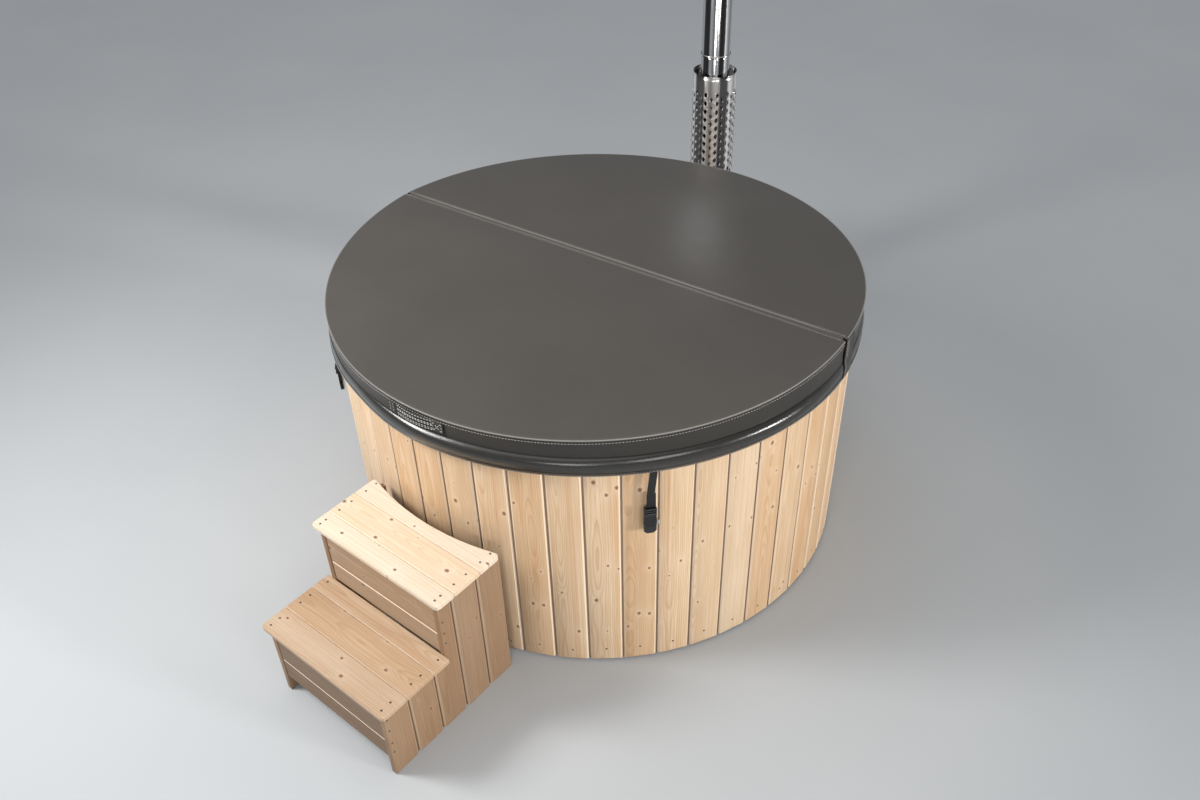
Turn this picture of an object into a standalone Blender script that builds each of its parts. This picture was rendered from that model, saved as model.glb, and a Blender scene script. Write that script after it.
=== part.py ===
"""Wood-fired hot tub: boarded tub, folding cover, box step, outside stove and chimney.

Metres, +Z up. The origin is on the tub's axis, on the ground. The cover folds along X and the step
stands on the -Y side.
"""
import math

import bmesh
import bpy
from mathutils import Matrix

# Fits
CLEARANCE = 0.0003          # between faces that touch
RUNNING_GAP = 0.0008        # round pins and pipes in their holes
CUT_PAST = 0.01             # how far a cutter runs past the face it opens

# Tub wall
STAVE_COUNT = 50
STAVES_PER_PANEL = 5
WALL_RADIUS = 0.900         # axis to the middle of a board's face
STAVE_THICKNESS = 0.019
WALL_BOTTOM = 0.010
SEAM_BEVEL_WIDTH = 0.0055
SEAM_BEVEL_DEPTH = 0.005
SEAM_SLOT_WIDTH = 0.006
SEAM_SLOT_DEPTH = 0.009
BATTEN_WIDTH = 0.045
BATTEN_THICKNESS = 0.030

# Base
BEARER_HEIGHT = 0.045
BEARER_WIDTH = 0.070
BEARER_SPACING = 0.500
DECK_THICKNESS = 0.018
DECK_MARGIN = 0.012         # from the boards' inner face to the deck's edge

# Liner
RIM_HEIGHT = 0.920
LINER_WALL = 0.006
LINER_SEGMENTS = 40
FLANGE_OVERHANG = 0.016     # past the boards' face
LIP_DROP = 0.027
LIP_FILLET = 0.008
RIM_WIDTH = 0.110           # boards' face to the seat wall
RIM_FILLET = 0.030
BENCH_HEIGHT = 0.420
BENCH_FILLET = 0.040
BENCH_DEPTH = 0.350
FOOTWELL_FILLET = 0.030
FILLET_STEPS = 2

# Cover
COVER_OVERHANG = 0.004      # past the rim's lip
COVER_EDGE_HEIGHT = 0.064   # thickness at the rim
COVER_TAPER = 0.028         # extra thickness at the fold
COVER_CROWN = 0.005
CROWN_WIDTH = 0.220
FOLD_Y = 0.043
FOLD_GAP = 0.0006
COVER_EDGE_ROUND = 0.007
COVER_DRAW_IN = 0.003
COVER_ARC_STEPS = 25
COVER_RINGS = (0.28, 0.55, 0.78, 0.92)
JACKET_WALL = 0.002
ZIP_END_MARGIN = 0.220      # from each end of the fold
ZIP_OPENING = 0.005

# Skirt of the cover
SKIRT_THICKNESS = 0.003
SKIRT_LAP = 0.014           # sewn to the jacket's side above the rim
SKIRT_DROP = 0.064          # below the rim
SKIRT_BULGE = 0.017
SKIRT_HEM_OUT = 0.004
SKIRT_POINTS = 5
SLIT_WIDTH = 0.010

# Webbing handle on the cover
HANDLE_LENGTH = 0.210
HANDLE_HEIGHT = 0.032
HANDLE_THICKNESS = 0.003
HANDLE_GAP = 0.014
HANDLE_SEWN = 0.035
HANDLE_STEPS = 12

# Straps and buckles
STRAP_ANGLE = 45.4          # each side of the step's side
STRAP_WIDTH = 0.027
STRAP_THICKNESS = 0.0016
STRAP_HEM_GAP = 0.0009
STRAP_LENGTH = 0.136
STRAP_LEAN = 0.010
STRAP_LEAN_LENGTH = 0.090
BUCKLE_SIDE = 0.006         # buckle's edge past the strap's
BUCKLE_THICKNESS = 0.012
BUCKLE_CORNER = 0.005
PRONG_BLOCK_LENGTH = 0.038
PRONG_LENGTH = 0.030
PRONG_WIDTH = 0.0065
PRONG_THICKNESS = 0.005
PRONG_SIDE_GAP = 0.0008
STRAP_SOCKET_DEPTH = 0.014
BUCKLE_BODY_LENGTH = 0.064
BUCKLE_WALL = 0.0035
BUCKLE_TIP_CUT = 0.009
BUCKLE_WINDOW_HEIGHT = 0.014

# Step
STEP_TURN = -4.0            # degrees, as it stands in front of the tub
STEP_X = 0.010
STEP_STANDOFF = 0.017       # tub wall to the back corners of the upper tread
STEP_WIDTH = 0.566
UPPER_TREAD_DEPTH = 0.265
LOWER_TREAD_DEPTH = 0.257
LOWER_TREAD_HEIGHT = 0.312
UPPER_TREAD_HEIGHT = 0.556
TREAD_THICKNESS = 0.019
UPPER_TREAD_FRONT_BOARD = 0.072
LOWER_TREAD_FRONT_BOARD = 0.096
TREAD_SIDE_OVERHANG = 0.020
TREAD_NOSE = 0.015
TREAD_CORNER = 0.014
TREAD_BEVEL = 0.003
TREAD_HOLLOW_GAP = 0.030    # the rear edge is hollowed round the tub
BOARD_GAP = 0.0006
PANEL_THICKNESS = 0.019
STEP_BOARD_WIDTH = 0.107    # a full board of the treads and side panels
PANEL_FRONT_BOARD = 0.099
PANEL_BACK = 0.012          # behind the upper tread's back corners
RISER_THICKNESS = 0.019
RISER_LOWER_BOARD = 0.085
RISER_INSET = 0.002
LOWER_RISER_BOTTOM = 0.073
RISER_BEVEL = 0.003

# Stove
STOVE_ANGLE = 102.6         # degrees round the tub
STOVE_GAP = 0.200           # tub wall to the casing
CASING_DEPTH = 0.500
CASING_WIDTH = 0.460
CASING_BOTTOM = 0.130
CASING_ABOVE_PIPE = 0.050   # upper water pipe's axis to the casing's top
CASING_CORNER = 0.030
WATER_WALL = 0.040          # double wall, with water between its sheets
FRONT_WALL = 0.030
FRONT_CORNER = 0.020
DOORWAY_WIDTH = 0.240
DOORWAY_HEIGHT = 0.190
DOORWAY_SILL = 0.038        # above the grate's ledge
DRAWER_HEIGHT = 0.080
DRAWER_WIDTH = 0.250
DRAWER_BACK_GAP = 0.080     # to the firebox's back wall
DRAWER_WALL = 0.003
DRAWER_SIDE_GAP = 0.002
DRAWER_FACE_LAP = 0.012
DRAWER_FACE_THICKNESS = 0.006
KNOB_RADIUS = 0.012
KNOB_LENGTH = 0.024
LEDGE_WIDTH = 0.020
LEDGE_THICKNESS = 0.010
LEDGE_RISE = 0.012          # top, above the drawer's slot
GRATE_THICKNESS = 0.012
GRATE_MARGIN = 0.002
GRATE_BARS = 9
GRATE_RIM = 0.030
GRATE_BAR_SHARE = 0.5       # of the bars' pitch
STAND_RAIL = 0.030
STAND_INSET = 0.015

# Stove door
DOOR_LAP = 0.020
DOOR_THICKNESS = 0.012
DOOR_CORNER = 0.018
HINGE_OFFSET = 0.020        # pin axis to the door's edge
HINGE_STANDOFF = 0.011      # pin axis to the casing's front
KNUCKLE_RADIUS = 0.009
KNUCKLE_LENGTH = 0.090
LUG_LENGTH = 0.024
PIN_RADIUS = 0.004
PIN_HEAD_RADIUS = 0.007
PIN_HEAD_HEIGHT = 0.004
LEAF_THICKNESS = 0.006
LATCH_INSET = 0.030
LATCH_HUB_RADIUS = 0.014
LATCH_HUB_LENGTH = 0.020
LATCH_LENGTH = 0.085
LATCH_BAR = 0.012
LATCH_KNOB_RADIUS = 0.013

# Chimney
CHIMNEY_SETBACK = 0.270     # from the casing's tub side
FLUE_RADIUS = 0.060
FLUE_WALL = 0.0015
FLUE_SEGMENTS = 24
COLLAR_MARGIN = 0.0155      # flange past the guard that stands on it
COLLAR_FLANGE_THICKNESS = 0.005
COLLAR_HEIGHT = 0.065
COLLAR_WALL = 0.003
LOWER_PIPE_LENGTH = 0.698
SOCKET_DEPTH = 0.043
SOCKET_WALL = 0.0015
BEAD_PROUD = 0.0045
BEAD_HEIGHT = 0.020
UPPER_PIPE_LENGTH = 1.000
GUARD_GAP = 0.0325          # pipe's face to the guard's
GUARD_WALL = 0.0015
GUARD_LENGTH = 0.625
GUARD_BAND = 0.095          # plain band above the openings
GUARD_COLUMNS = 18
GUARD_ROWS = 10
GUARD_ROW_PITCH = 0.037
GUARD_SLOT_WIDTH = 0.017
GUARD_SLOT_HEIGHT = 0.022
CAP_OVERHANG = 0.055        # past the pipe's face
CAP_RISE = 0.055
CAP_WALL = 0.002
CAP_GAP = 0.060             # pipe end to the cap's edge
CAP_BAND_HEIGHT = 0.040
CAP_BAND_WALL = 0.003
CAP_STRUTS = 3
CAP_STRUT_WIDTH = 0.018
CAP_STRUT_THICKNESS = 0.004

# Water pipes and drain
PIPE_RADIUS = 0.0255
PIPE_WALL = 0.004
PIPE_FLANGE_WIDTH = 0.0195
PIPE_FLANGE_THICKNESS = 0.006
PIPE_SEGMENTS = 16
UPPER_PIPE_RISE = 0.100     # above the bench
LOWER_PIPE_RISE = 0.140     # above the footwell's floor
DRAIN_ANGLE = 54.0
DRAIN_RISE = 0.080          # above the footwell's floor
VALVE_WALL = 0.0085
VALVE_SOCKET_DEPTH = 0.020
VALVE_LENGTH = 0.080
VALVE_WALL_GAP = 0.010
VALVE_BOSS_RADIUS = 0.010
VALVE_BOSS_HEIGHT = 0.012
LEVER_HUB_RADIUS = 0.014
LEVER_THICKNESS = 0.006
LEVER_LENGTH = 0.095
LEVER_WIDTH = 0.018

# Worked out from the sizes above
STAVE_TURN = 2 * math.pi / STAVE_COUNT
FRONT = -math.pi / 2
STAVE_INNER = WALL_RADIUS - STAVE_THICKNESS
DECK_BASE = BEARER_HEIGHT + CLEARANCE
DECK_TOP = DECK_BASE + DECK_THICKNESS
LINER_BASE = DECK_TOP + CLEARANCE
FOOTWELL_FLOOR = LINER_BASE + LINER_WALL
FLANGE_UNDERSIDE = RIM_HEIGHT - LINER_WALL
LIP_RADIUS = WALL_RADIUS + FLANGE_OVERHANG
SEAT_WALL_RADIUS = WALL_RADIUS - RIM_WIDTH
FOOTWELL_RADIUS = SEAT_WALL_RADIUS - BENCH_DEPTH
STAVE_TOP = FLANGE_UNDERSIDE - CLEARANCE
UPPER_PIPE_HEIGHT = BENCH_HEIGHT + UPPER_PIPE_RISE
LOWER_PIPE_HEIGHT = FOOTWELL_FLOOR + LOWER_PIPE_RISE
COVER_RADIUS = LIP_RADIUS + COVER_OVERHANG
COVER_BASE = RIM_HEIGHT + CLEARANCE
COVER_EDGE_Z = RIM_HEIGHT + COVER_EDGE_HEIGHT
RIDGE_Z = COVER_EDGE_Z + COVER_TAPER
HEM_Z = RIM_HEIGHT - SKIRT_DROP
SKIRT_TOP_Z = COVER_BASE + SKIRT_LAP
BUCKLE_WIDTH = STRAP_WIDTH + 2 * BUCKLE_SIDE
STEP_BACK_Y = -WALL_RADIUS - STEP_STANDOFF
TREAD_HOLLOW_RADIUS = WALL_RADIUS + TREAD_HOLLOW_GAP
CASING_NEAR = WALL_RADIUS + STOVE_GAP
CASING_FRONT = CASING_NEAR + CASING_DEPTH
CASING_TOP = UPPER_PIPE_HEIGHT + CASING_ABOVE_PIPE
FIRE_FLOOR = CASING_BOTTOM + WATER_WALL
FIRE_ROOF = CASING_TOP - WATER_WALL
FIRE_HALF_WIDTH = CASING_WIDTH / 2 - WATER_WALL
FIRE_NEAR = CASING_NEAR + WATER_WALL
FIRE_FAR = CASING_FRONT - FRONT_WALL
LEDGE_TOP = FIRE_FLOOR + DRAWER_HEIGHT + LEDGE_RISE
DOORWAY_LOW = LEDGE_TOP + DOORWAY_SILL
DOOR_LOW = DOORWAY_LOW - DOOR_LAP
DOOR_HIGH = DOORWAY_LOW + DOORWAY_HEIGHT + DOOR_LAP
DOOR_HALF_WIDTH = DOORWAY_WIDTH / 2 + DOOR_LAP
DOOR_BACK = CASING_FRONT + CLEARANCE
DOOR_FACE = DOOR_BACK + DOOR_THICKNESS
HINGE_X = -DOOR_HALF_WIDTH - HINGE_OFFSET
HINGE_Y = CASING_FRONT + HINGE_STANDOFF
HINGE_Z = (DOOR_LOW + DOOR_HIGH) / 2
LATCH_X = DOOR_HALF_WIDTH - LATCH_INSET
CHIMNEY_REACH = CASING_NEAR + CHIMNEY_SETBACK
GUARD_RADIUS = FLUE_RADIUS + GUARD_GAP
COLLAR_FLANGE_RADIUS = GUARD_RADIUS + COLLAR_MARGIN
COLLAR_BASE = CASING_TOP + CLEARANCE
GUARD_BASE = COLLAR_BASE + COLLAR_FLANGE_THICKNESS + CLEARANCE
GUARD_TOP = GUARD_BASE + GUARD_LENGTH
LOWER_PIPE_TOP = COLLAR_BASE + LOWER_PIPE_LENGTH
UPPER_PIPE_BASE = LOWER_PIPE_TOP - SOCKET_DEPTH
UPPER_PIPE_TOP = LOWER_PIPE_TOP + UPPER_PIPE_LENGTH
BEAD_RADIUS = FLUE_RADIUS + BEAD_PROUD
CAP_RADIUS = FLUE_RADIUS + CAP_OVERHANG
PIPE_FLANGE_RADIUS = PIPE_RADIUS + PIPE_FLANGE_WIDTH
DRAIN_HEIGHT = FOOTWELL_FLOOR + DRAIN_RISE
VALVE_RADIUS = PIPE_RADIUS + VALVE_WALL
VALVE_NEAR = WALL_RADIUS + VALVE_WALL_GAP
VALVE_MIDDLE = VALVE_NEAR + VALVE_LENGTH / 2


# Meshes

def clear_scene():
    for old in list(bpy.data.objects):
        bpy.data.objects.remove(old, do_unlink=True)


def make_material(name, colour, roughness, metallic=0.0):
    mat = bpy.data.materials.new(name)
    mat.use_nodes = True
    shader = mat.node_tree.nodes["Principled BSDF"]
    shader.inputs["Base Color"].default_value = (*colour, 1.0)
    shader.inputs["Roughness"].default_value = roughness
    shader.inputs["Metallic"].default_value = metallic
    mat.diffuse_color = (*colour, 1.0)
    return mat


def polar(radius, angle):
    return radius * math.cos(angle), radius * math.sin(angle)


def circle(radius, count, centre=(0.0, 0.0), phase=0.0):
    turns = [phase + 2 * math.pi * i / count for i in range(count)]
    return [(centre[0] + radius * math.cos(a), centre[1] + radius * math.sin(a)) for a in turns]


def arc(centre, radius, start, end, steps):
    turns = [start + (end - start) * i / steps for i in range(steps + 1)]
    return [(centre[0] + radius * math.cos(a), centre[1] + radius * math.sin(a)) for a in turns]


def rectangle(u0, u1, v0, v1):
    return [(u0, v0), (u1, v0), (u1, v1), (u0, v1)]


def rounded_rectangle(u0, u1, v0, v1, radius, steps=3):
    quarter = math.pi / 2
    corners = ((u1 - radius, v0 + radius, -1), (u1 - radius, v1 - radius, 0),
               (u0 + radius, v1 - radius, 1), (u0 + radius, v0 + radius, 2))
    outline = []
    for u, v, turn in corners:
        outline += arc((u, v), radius, turn * quarter, (turn + 1) * quarter, steps)
    return outline


def round_end(half, flat, far, radius, steps=3):
    """A rectangle about the Y axis with its two corners at the far end rounded."""
    quarter = math.copysign(math.pi / 2, far - flat)
    middle = far - math.copysign(radius, far - flat)
    right = arc((half - radius, middle), radius, 0.0, quarter, steps)
    left = arc((radius - half, middle), radius, quarter, 2 * quarter, steps)
    return [(-half, flat), (half, flat)] + right + left


def fillet_path(points, radii, steps):
    """Round the inner corners of an open path, each with its own radius."""
    path = [points[0]]
    for before, corner, after, radius in zip(points, points[1:], points[2:], radii):
        back = (before[0] - corner[0], before[1] - corner[1])
        ahead = (after[0] - corner[0], after[1] - corner[1])
        back_length = math.hypot(*back)
        ahead_length = math.hypot(*ahead)
        back = (back[0] / back_length, back[1] / back_length)
        ahead = (ahead[0] / ahead_length, ahead[1] / ahead_length)
        half = math.acos(back[0] * ahead[0] + back[1] * ahead[1]) / 2
        middle = (back[0] + ahead[0], back[1] + ahead[1])
        reach = radius / math.sin(half) / math.hypot(*middle)
        centre = (corner[0] + middle[0] * reach, corner[1] + middle[1] * reach)
        run = radius / math.tan(half)
        first = (corner[0] + back[0] * run, corner[1] + back[1] * run)
        last = (corner[0] + ahead[0] * run, corner[1] + ahead[1] * run)
        start = math.atan2(first[1] - centre[1], first[0] - centre[0])
        sweep = math.atan2(last[1] - centre[1], last[0] - centre[0]) - start
        sweep = (sweep + math.pi) % (2 * math.pi) - math.pi
        path += arc(centre, radius, start, start + sweep, steps)
    return path + [points[-1]]


def offset_path(path, distance):
    """The path moved to its left by a distance."""
    moved = []
    for i, point in enumerate(path):
        normals = []
        for a, b in zip(path[max(i - 1, 0):i + 1], path[max(i - 1, 0) + 1:i + 2]):
            length = math.hypot(b[0] - a[0], b[1] - a[1])
            normals.append((-(b[1] - a[1]) / length, (b[0] - a[0]) / length))
        mean = (sum(n[0] for n in normals), sum(n[1] for n in normals))
        scale = distance * len(normals) / (mean[0] ** 2 + mean[1] ** 2)
        moved.append((point[0] + mean[0] * scale, point[1] + mean[1] * scale))
    return moved


def finish_mesh(bm):
    bmesh.ops.recalc_face_normals(bm, faces=bm.faces)
    return bm


def extrude(outline, low, high, axis="Z"):
    """A closed prism: the outline runs in the two other axes, in their own order."""
    def at(u, v, w):
        return {"Z": (u, v, w), "Y": (u, w, v), "X": (w, u, v)}[axis]
    bm = bmesh.new()
    bottom = [bm.verts.new(at(u, v, low)) for u, v in outline]
    top = [bm.verts.new(at(u, v, high)) for u, v in outline]
    bm.faces.new(bottom)
    bm.faces.new(top)
    for i in range(len(outline)):
        j = (i + 1) % len(outline)
        bm.faces.new((bottom[i], bottom[j], top[j], top[i]))
    return finish_mesh(bm)


def lathe(profile, segments, phase=0.0):
    """Turn a closed (radius, height) outline about Z; points on the axis become poles."""
    bm = bmesh.new()
    rings = []
    for radius, height in profile:
        if radius < 1e-9:
            rings.append([bm.verts.new((0.0, 0.0, height))] * segments)
        else:
            rings.append([bm.verts.new((x, y, height)) for x, y in circle(radius, segments, phase=phase)])
    for ring, following in zip(rings, rings[1:] + rings[:1]):
        for i in range(segments):
            j = (i + 1) % segments
            corners = list(dict.fromkeys((ring[i], ring[j], following[j], following[i])))
            if len(corners) > 2:
                bm.faces.new(corners)
    return finish_mesh(bm)


def arc_sweep(profile, start, end, steps):
    """Carry a closed (radius, height) outline round part of a turn, with end faces."""
    bm = bmesh.new()
    rings = []
    for i in range(steps + 1):
        angle = start + (end - start) * i / steps
        rings.append([bm.verts.new((*polar(radius, angle), height)) for radius, height in profile])
    for ring, following in zip(rings, rings[1:]):
        for i in range(len(profile)):
            j = (i + 1) % len(profile)
            bm.faces.new((ring[i], ring[j], following[j], following[i]))
    bm.faces.new(rings[0])
    bm.faces.new(rings[-1])
    return finish_mesh(bm)


def tube(outer, inner, low, high, segments):
    return lathe([(outer, low), (outer, high), (inner, high), (inner, low)], segments)


def along_y(bm):
    """Turn a shape that was made about Z so that its axis runs along +Y."""
    bmesh.ops.transform(bm, matrix=Matrix.Rotation(-math.pi / 2, 4, "X"), verts=bm.verts)
    return bm


def moved(bm, x=0.0, y=0.0, z=0.0):
    bmesh.ops.translate(bm, vec=(x, y, z), verts=bm.verts)
    return bm


def add_piece(name, bm, mat, parent=None, origin=(0.0, 0.0, 0.0), smooth=None):
    """An object whose own origin lies at the given point of its parent's frame."""
    moved(bm, *(-c for c in origin))
    mesh = bpy.data.meshes.new(name)
    bm.to_mesh(mesh)
    bm.free()
    mesh.materials.append(mat)
    if smooth:
        mesh.shade_smooth()
        mesh.set_sharp_from_angle(angle=math.radians(smooth))
    piece = bpy.data.objects.new(name, mesh)
    bpy.context.collection.objects.link(piece)
    piece.parent = parent
    piece.location = origin
    return piece


def add_frame(name, angle=0.0, location=(0.0, 0.0, 0.0)):
    frame = bpy.data.objects.new(name, None)
    bpy.context.collection.objects.link(frame)
    frame.location = location
    frame.rotation_euler = (0.0, 0.0, angle)
    return frame


def boolean(piece, bm, operation):
    """Cut or join a shape given in the frame that the piece is placed in."""
    name = piece.name + "_" + operation.lower()
    tool = add_piece(name, bm, piece.data.materials[0], piece.parent)
    tool.hide_render = True
    tool.display_type = "WIRE"
    change = piece.modifiers.new(name, "BOOLEAN")
    change.operation = operation
    change.solver = "EXACT"
    change.object = tool


def cut(piece, bm):
    boolean(piece, bm, "DIFFERENCE")


def join(piece, bm):
    boolean(piece, bm, "UNION")


def ease_edges(piece, width, angle=50.0):
    bevel = piece.modifiers.new("eased_edges", "BEVEL")
    bevel.width = width
    bevel.segments = 1
    bevel.limit_method = "ANGLE"
    bevel.angle_limit = math.radians(angle)


# Tub

def board_seam(half_width):
    """Half of a board's front, from its middle to its seam, as (across, depth) points."""
    slot = half_width - SEAM_SLOT_WIDTH / 2
    return [(slot - SEAM_BEVEL_WIDTH, 0.0), (slot, SEAM_BEVEL_DEPTH), (slot, SEAM_SLOT_DEPTH)]


def stave_outline():
    """One wall panel seen from above, centred on the X axis."""
    half_width = WALL_RADIUS * math.tan(STAVE_TURN / 2)
    right = board_seam(half_width)
    front = [(-u, d) for u, d in reversed(right)] + right
    half = STAVES_PER_PANEL / 2
    end = half * STAVE_TURN - CLEARANCE / 2 / WALL_RADIUS
    corner = 1 / math.cos(STAVE_TURN / 2)
    seam_floor = (WALL_RADIUS - SEAM_SLOT_DEPTH) * corner
    outline = [polar(seam_floor, -end)]
    for i in range(STAVES_PER_PANEL):
        turn = (i - half + 0.5) * STAVE_TURN
        for across, depth in front:
            r = WALL_RADIUS - depth
            outline.append((r * math.cos(turn) - across * math.sin(turn),
                            r * math.sin(turn) + across * math.cos(turn)))
    outline.append(polar(seam_floor, end))
    inner = STAVE_INNER * corner
    seams = [(i - half) * STAVE_TURN for i in range(1, STAVES_PER_PANEL)]
    outline += [polar(inner, a) for a in [end] + seams[::-1] + [-end]]
    return outline


def build_wall(mat):
    panels = []
    count = STAVE_COUNT // STAVES_PER_PANEL
    for i in range(count):
        panel = add_piece(f"wall_boards_{i + 1:02d}", extrude(stave_outline(), WALL_BOTTOM, STAVE_TOP), mat)
        panel.rotation_euler = (0.0, 0.0, FRONT + i * STAVES_PER_PANEL * STAVE_TURN)
        panels.append(panel)
    return panels


def panel_at(panels, angle):
    """The wall panel that a pipe passes through at an angle round the tub."""
    step = STAVES_PER_PANEL * STAVE_TURN
    return panels[round((math.radians(angle) - FRONT) / step) % len(panels)]


def build_battens(mat):
    outer = (STAVE_INNER - CLEARANCE) / math.cos(STAVE_TURN / 2)
    inner = outer - BATTEN_THICKNESS
    phase = FRONT + STAVE_TURN / 2
    spans = (("lower", DECK_TOP + CLEARANCE), ("upper", STAVE_TOP - BATTEN_WIDTH))
    for name, low in spans:
        outline = [(outer, low), (outer, low + BATTEN_WIDTH), (inner, low + BATTEN_WIDTH), (inner, low)]
        add_piece(f"batten_ring_{name}", lathe(outline, STAVE_COUNT, phase), mat)


def build_base(mat):
    reach = STAVE_INNER - DECK_MARGIN
    for name, side in (("left", -1), ("middle", 0), ("right", 1)):
        x = side * BEARER_SPACING
        half_length = math.sqrt(reach ** 2 - (abs(x) + BEARER_WIDTH / 2) ** 2)
        outline = rectangle(x - BEARER_WIDTH / 2, x + BEARER_WIDTH / 2, -half_length, half_length)
        add_piece(f"base_bearer_{name}", extrude(outline, 0.0, BEARER_HEIGHT), mat)
    add_piece("base_deck", extrude(circle(reach, STAVE_COUNT), DECK_BASE, DECK_TOP), mat)


def liner_profile():
    """Rim lip, flange, seat wall, ring bench and footwell, from the lip to the axis."""
    corners = [(LIP_RADIUS, RIM_HEIGHT - LIP_DROP), (LIP_RADIUS, RIM_HEIGHT), (SEAT_WALL_RADIUS, RIM_HEIGHT),
               (SEAT_WALL_RADIUS, BENCH_HEIGHT), (FOOTWELL_RADIUS, BENCH_HEIGHT),
               (FOOTWELL_RADIUS, FOOTWELL_FLOOR), (0.0, FOOTWELL_FLOOR)]
    radii = (LIP_FILLET, RIM_FILLET, BENCH_FILLET, RIM_FILLET, FOOTWELL_FILLET)
    inside = fillet_path(corners, radii, FILLET_STEPS)
    return inside + offset_path(inside, LINER_WALL)[::-1]


def build_liner(mat):
    return add_piece("liner_shell", lathe(liner_profile(), LINER_SEGMENTS), mat, smooth=40)


# Water pipes and drain

def pipe_hole(height, near, far, frame):
    """The hole for a pipe that runs out from the axis, in the tub's own frame."""
    bm = along_y(extrude(circle(PIPE_RADIUS + RUNNING_GAP, PIPE_SEGMENTS), near, far))
    turn = Matrix.Rotation(frame.rotation_euler.z, 4, "Z")
    bmesh.ops.transform(moved(bm, z=height), matrix=turn, verts=bm.verts)
    return bm


def liner_seat(wall_radius):
    """Where a pipe's round flange meets the liner's curved wall, as a distance from the axis."""
    facet = wall_radius * math.cos(math.pi / LINER_SEGMENTS)
    return math.sqrt(facet ** 2 - PIPE_FLANGE_RADIUS ** 2) - CLEARANCE


def pipe_profile(wall_radius, end, end_flange):
    bore = PIPE_RADIUS - PIPE_WALL
    seat = liner_seat(wall_radius)
    start = seat - PIPE_FLANGE_THICKNESS
    outline = [(bore, start), (PIPE_FLANGE_RADIUS, start), (PIPE_FLANGE_RADIUS, seat), (PIPE_RADIUS, seat)]
    if end_flange:
        near = end - PIPE_FLANGE_THICKNESS
        outline += [(PIPE_RADIUS, near), (PIPE_FLANGE_RADIUS, near), (PIPE_FLANGE_RADIUS, end)]
    else:
        outline += [(PIPE_RADIUS, end)]
    return outline + [(bore, end)]


def build_pipe(name, frame, height, wall_radius, end, end_flange, mat, liner, wall):
    bm = along_y(lathe(pipe_profile(wall_radius, end, end_flange), PIPE_SEGMENTS))
    add_piece(name, moved(bm, z=height), mat, frame, smooth=40)
    cut(liner, pipe_hole(height, wall_radius - CUT_PAST, wall_radius + CUT_PAST + LINER_WALL, frame))
    cut(wall, pipe_hole(height, STAVE_INNER - CUT_PAST, WALL_RADIUS + CUT_PAST, frame))


def build_drain(liner, panels, plastic, metal, lever_mat):
    frame = add_frame("drain_frame", math.radians(DRAIN_ANGLE) + FRONT)
    end = VALVE_NEAR + VALVE_SOCKET_DEPTH
    wall = panel_at(panels, DRAIN_ANGLE)
    build_pipe("drain_tailpipe", frame, DRAIN_HEIGHT, FOOTWELL_RADIUS, end, False, plastic, liner, wall)
    bore = PIPE_RADIUS - PIPE_WALL
    socket = PIPE_RADIUS + CLEARANCE
    far = VALVE_NEAR + VALVE_LENGTH
    stop = end + CLEARANCE
    outline = [(socket, VALVE_NEAR), (VALVE_RADIUS, VALVE_NEAR), (VALVE_RADIUS, far), (bore, far),
               (bore, stop), (socket, stop)]
    bm = moved(along_y(lathe(outline, PIPE_SEGMENTS)), z=DRAIN_HEIGHT)
    body = add_piece("drain_valve_body", bm, metal, frame, smooth=40)
    boss_top = DRAIN_HEIGHT + VALVE_RADIUS + VALVE_BOSS_HEIGHT
    boss_low = DRAIN_HEIGHT + (VALVE_RADIUS + bore) / 2
    join(body, extrude(circle(VALVE_BOSS_RADIUS, PIPE_SEGMENTS, (0.0, VALVE_MIDDLE)), boss_low, boss_top))
    low = boss_top + CLEARANCE
    lever = extrude(lever_outline(), low, low + LEVER_THICKNESS)
    add_piece("drain_valve_handle", lever, lever_mat, frame, (0.0, VALVE_MIDDLE, low), smooth=40)


def lever_outline():
    """A round hub that runs out into a straight lever with a round end, along +X."""
    half = LEVER_WIDTH / 2
    meet = math.asin(half / LEVER_HUB_RADIUS)
    hub = arc((0.0, VALVE_MIDDLE), LEVER_HUB_RADIUS, meet, 2 * math.pi - meet, 10)
    tip = arc((LEVER_LENGTH - half, VALVE_MIDDLE), half, -math.pi / 2, math.pi / 2, 6)
    return hub + tip


# Cover

def half_arc(side, radius, fold_y):
    """Points round one half of the cover, from its +X end to its -X end."""
    start = math.asin(fold_y / radius)
    return arc((0.0, 0.0), radius, start, side * math.pi - start, COVER_ARC_STEPS)


def swell(distance):
    """How far the padding has risen at a distance from an edge, from 0 to 1."""
    return 1 - (1 - min(max(distance, 0.0) / CROWN_WIDTH, 1.0)) ** 2


def cover_top(x, y):
    fall = COVER_TAPER * abs(y - FOLD_Y) / COVER_RADIUS
    puff = COVER_CROWN * swell(abs(y - FOLD_Y)) * swell(COVER_RADIUS - math.hypot(x, y))
    return RIDGE_Z - fall + puff


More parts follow.
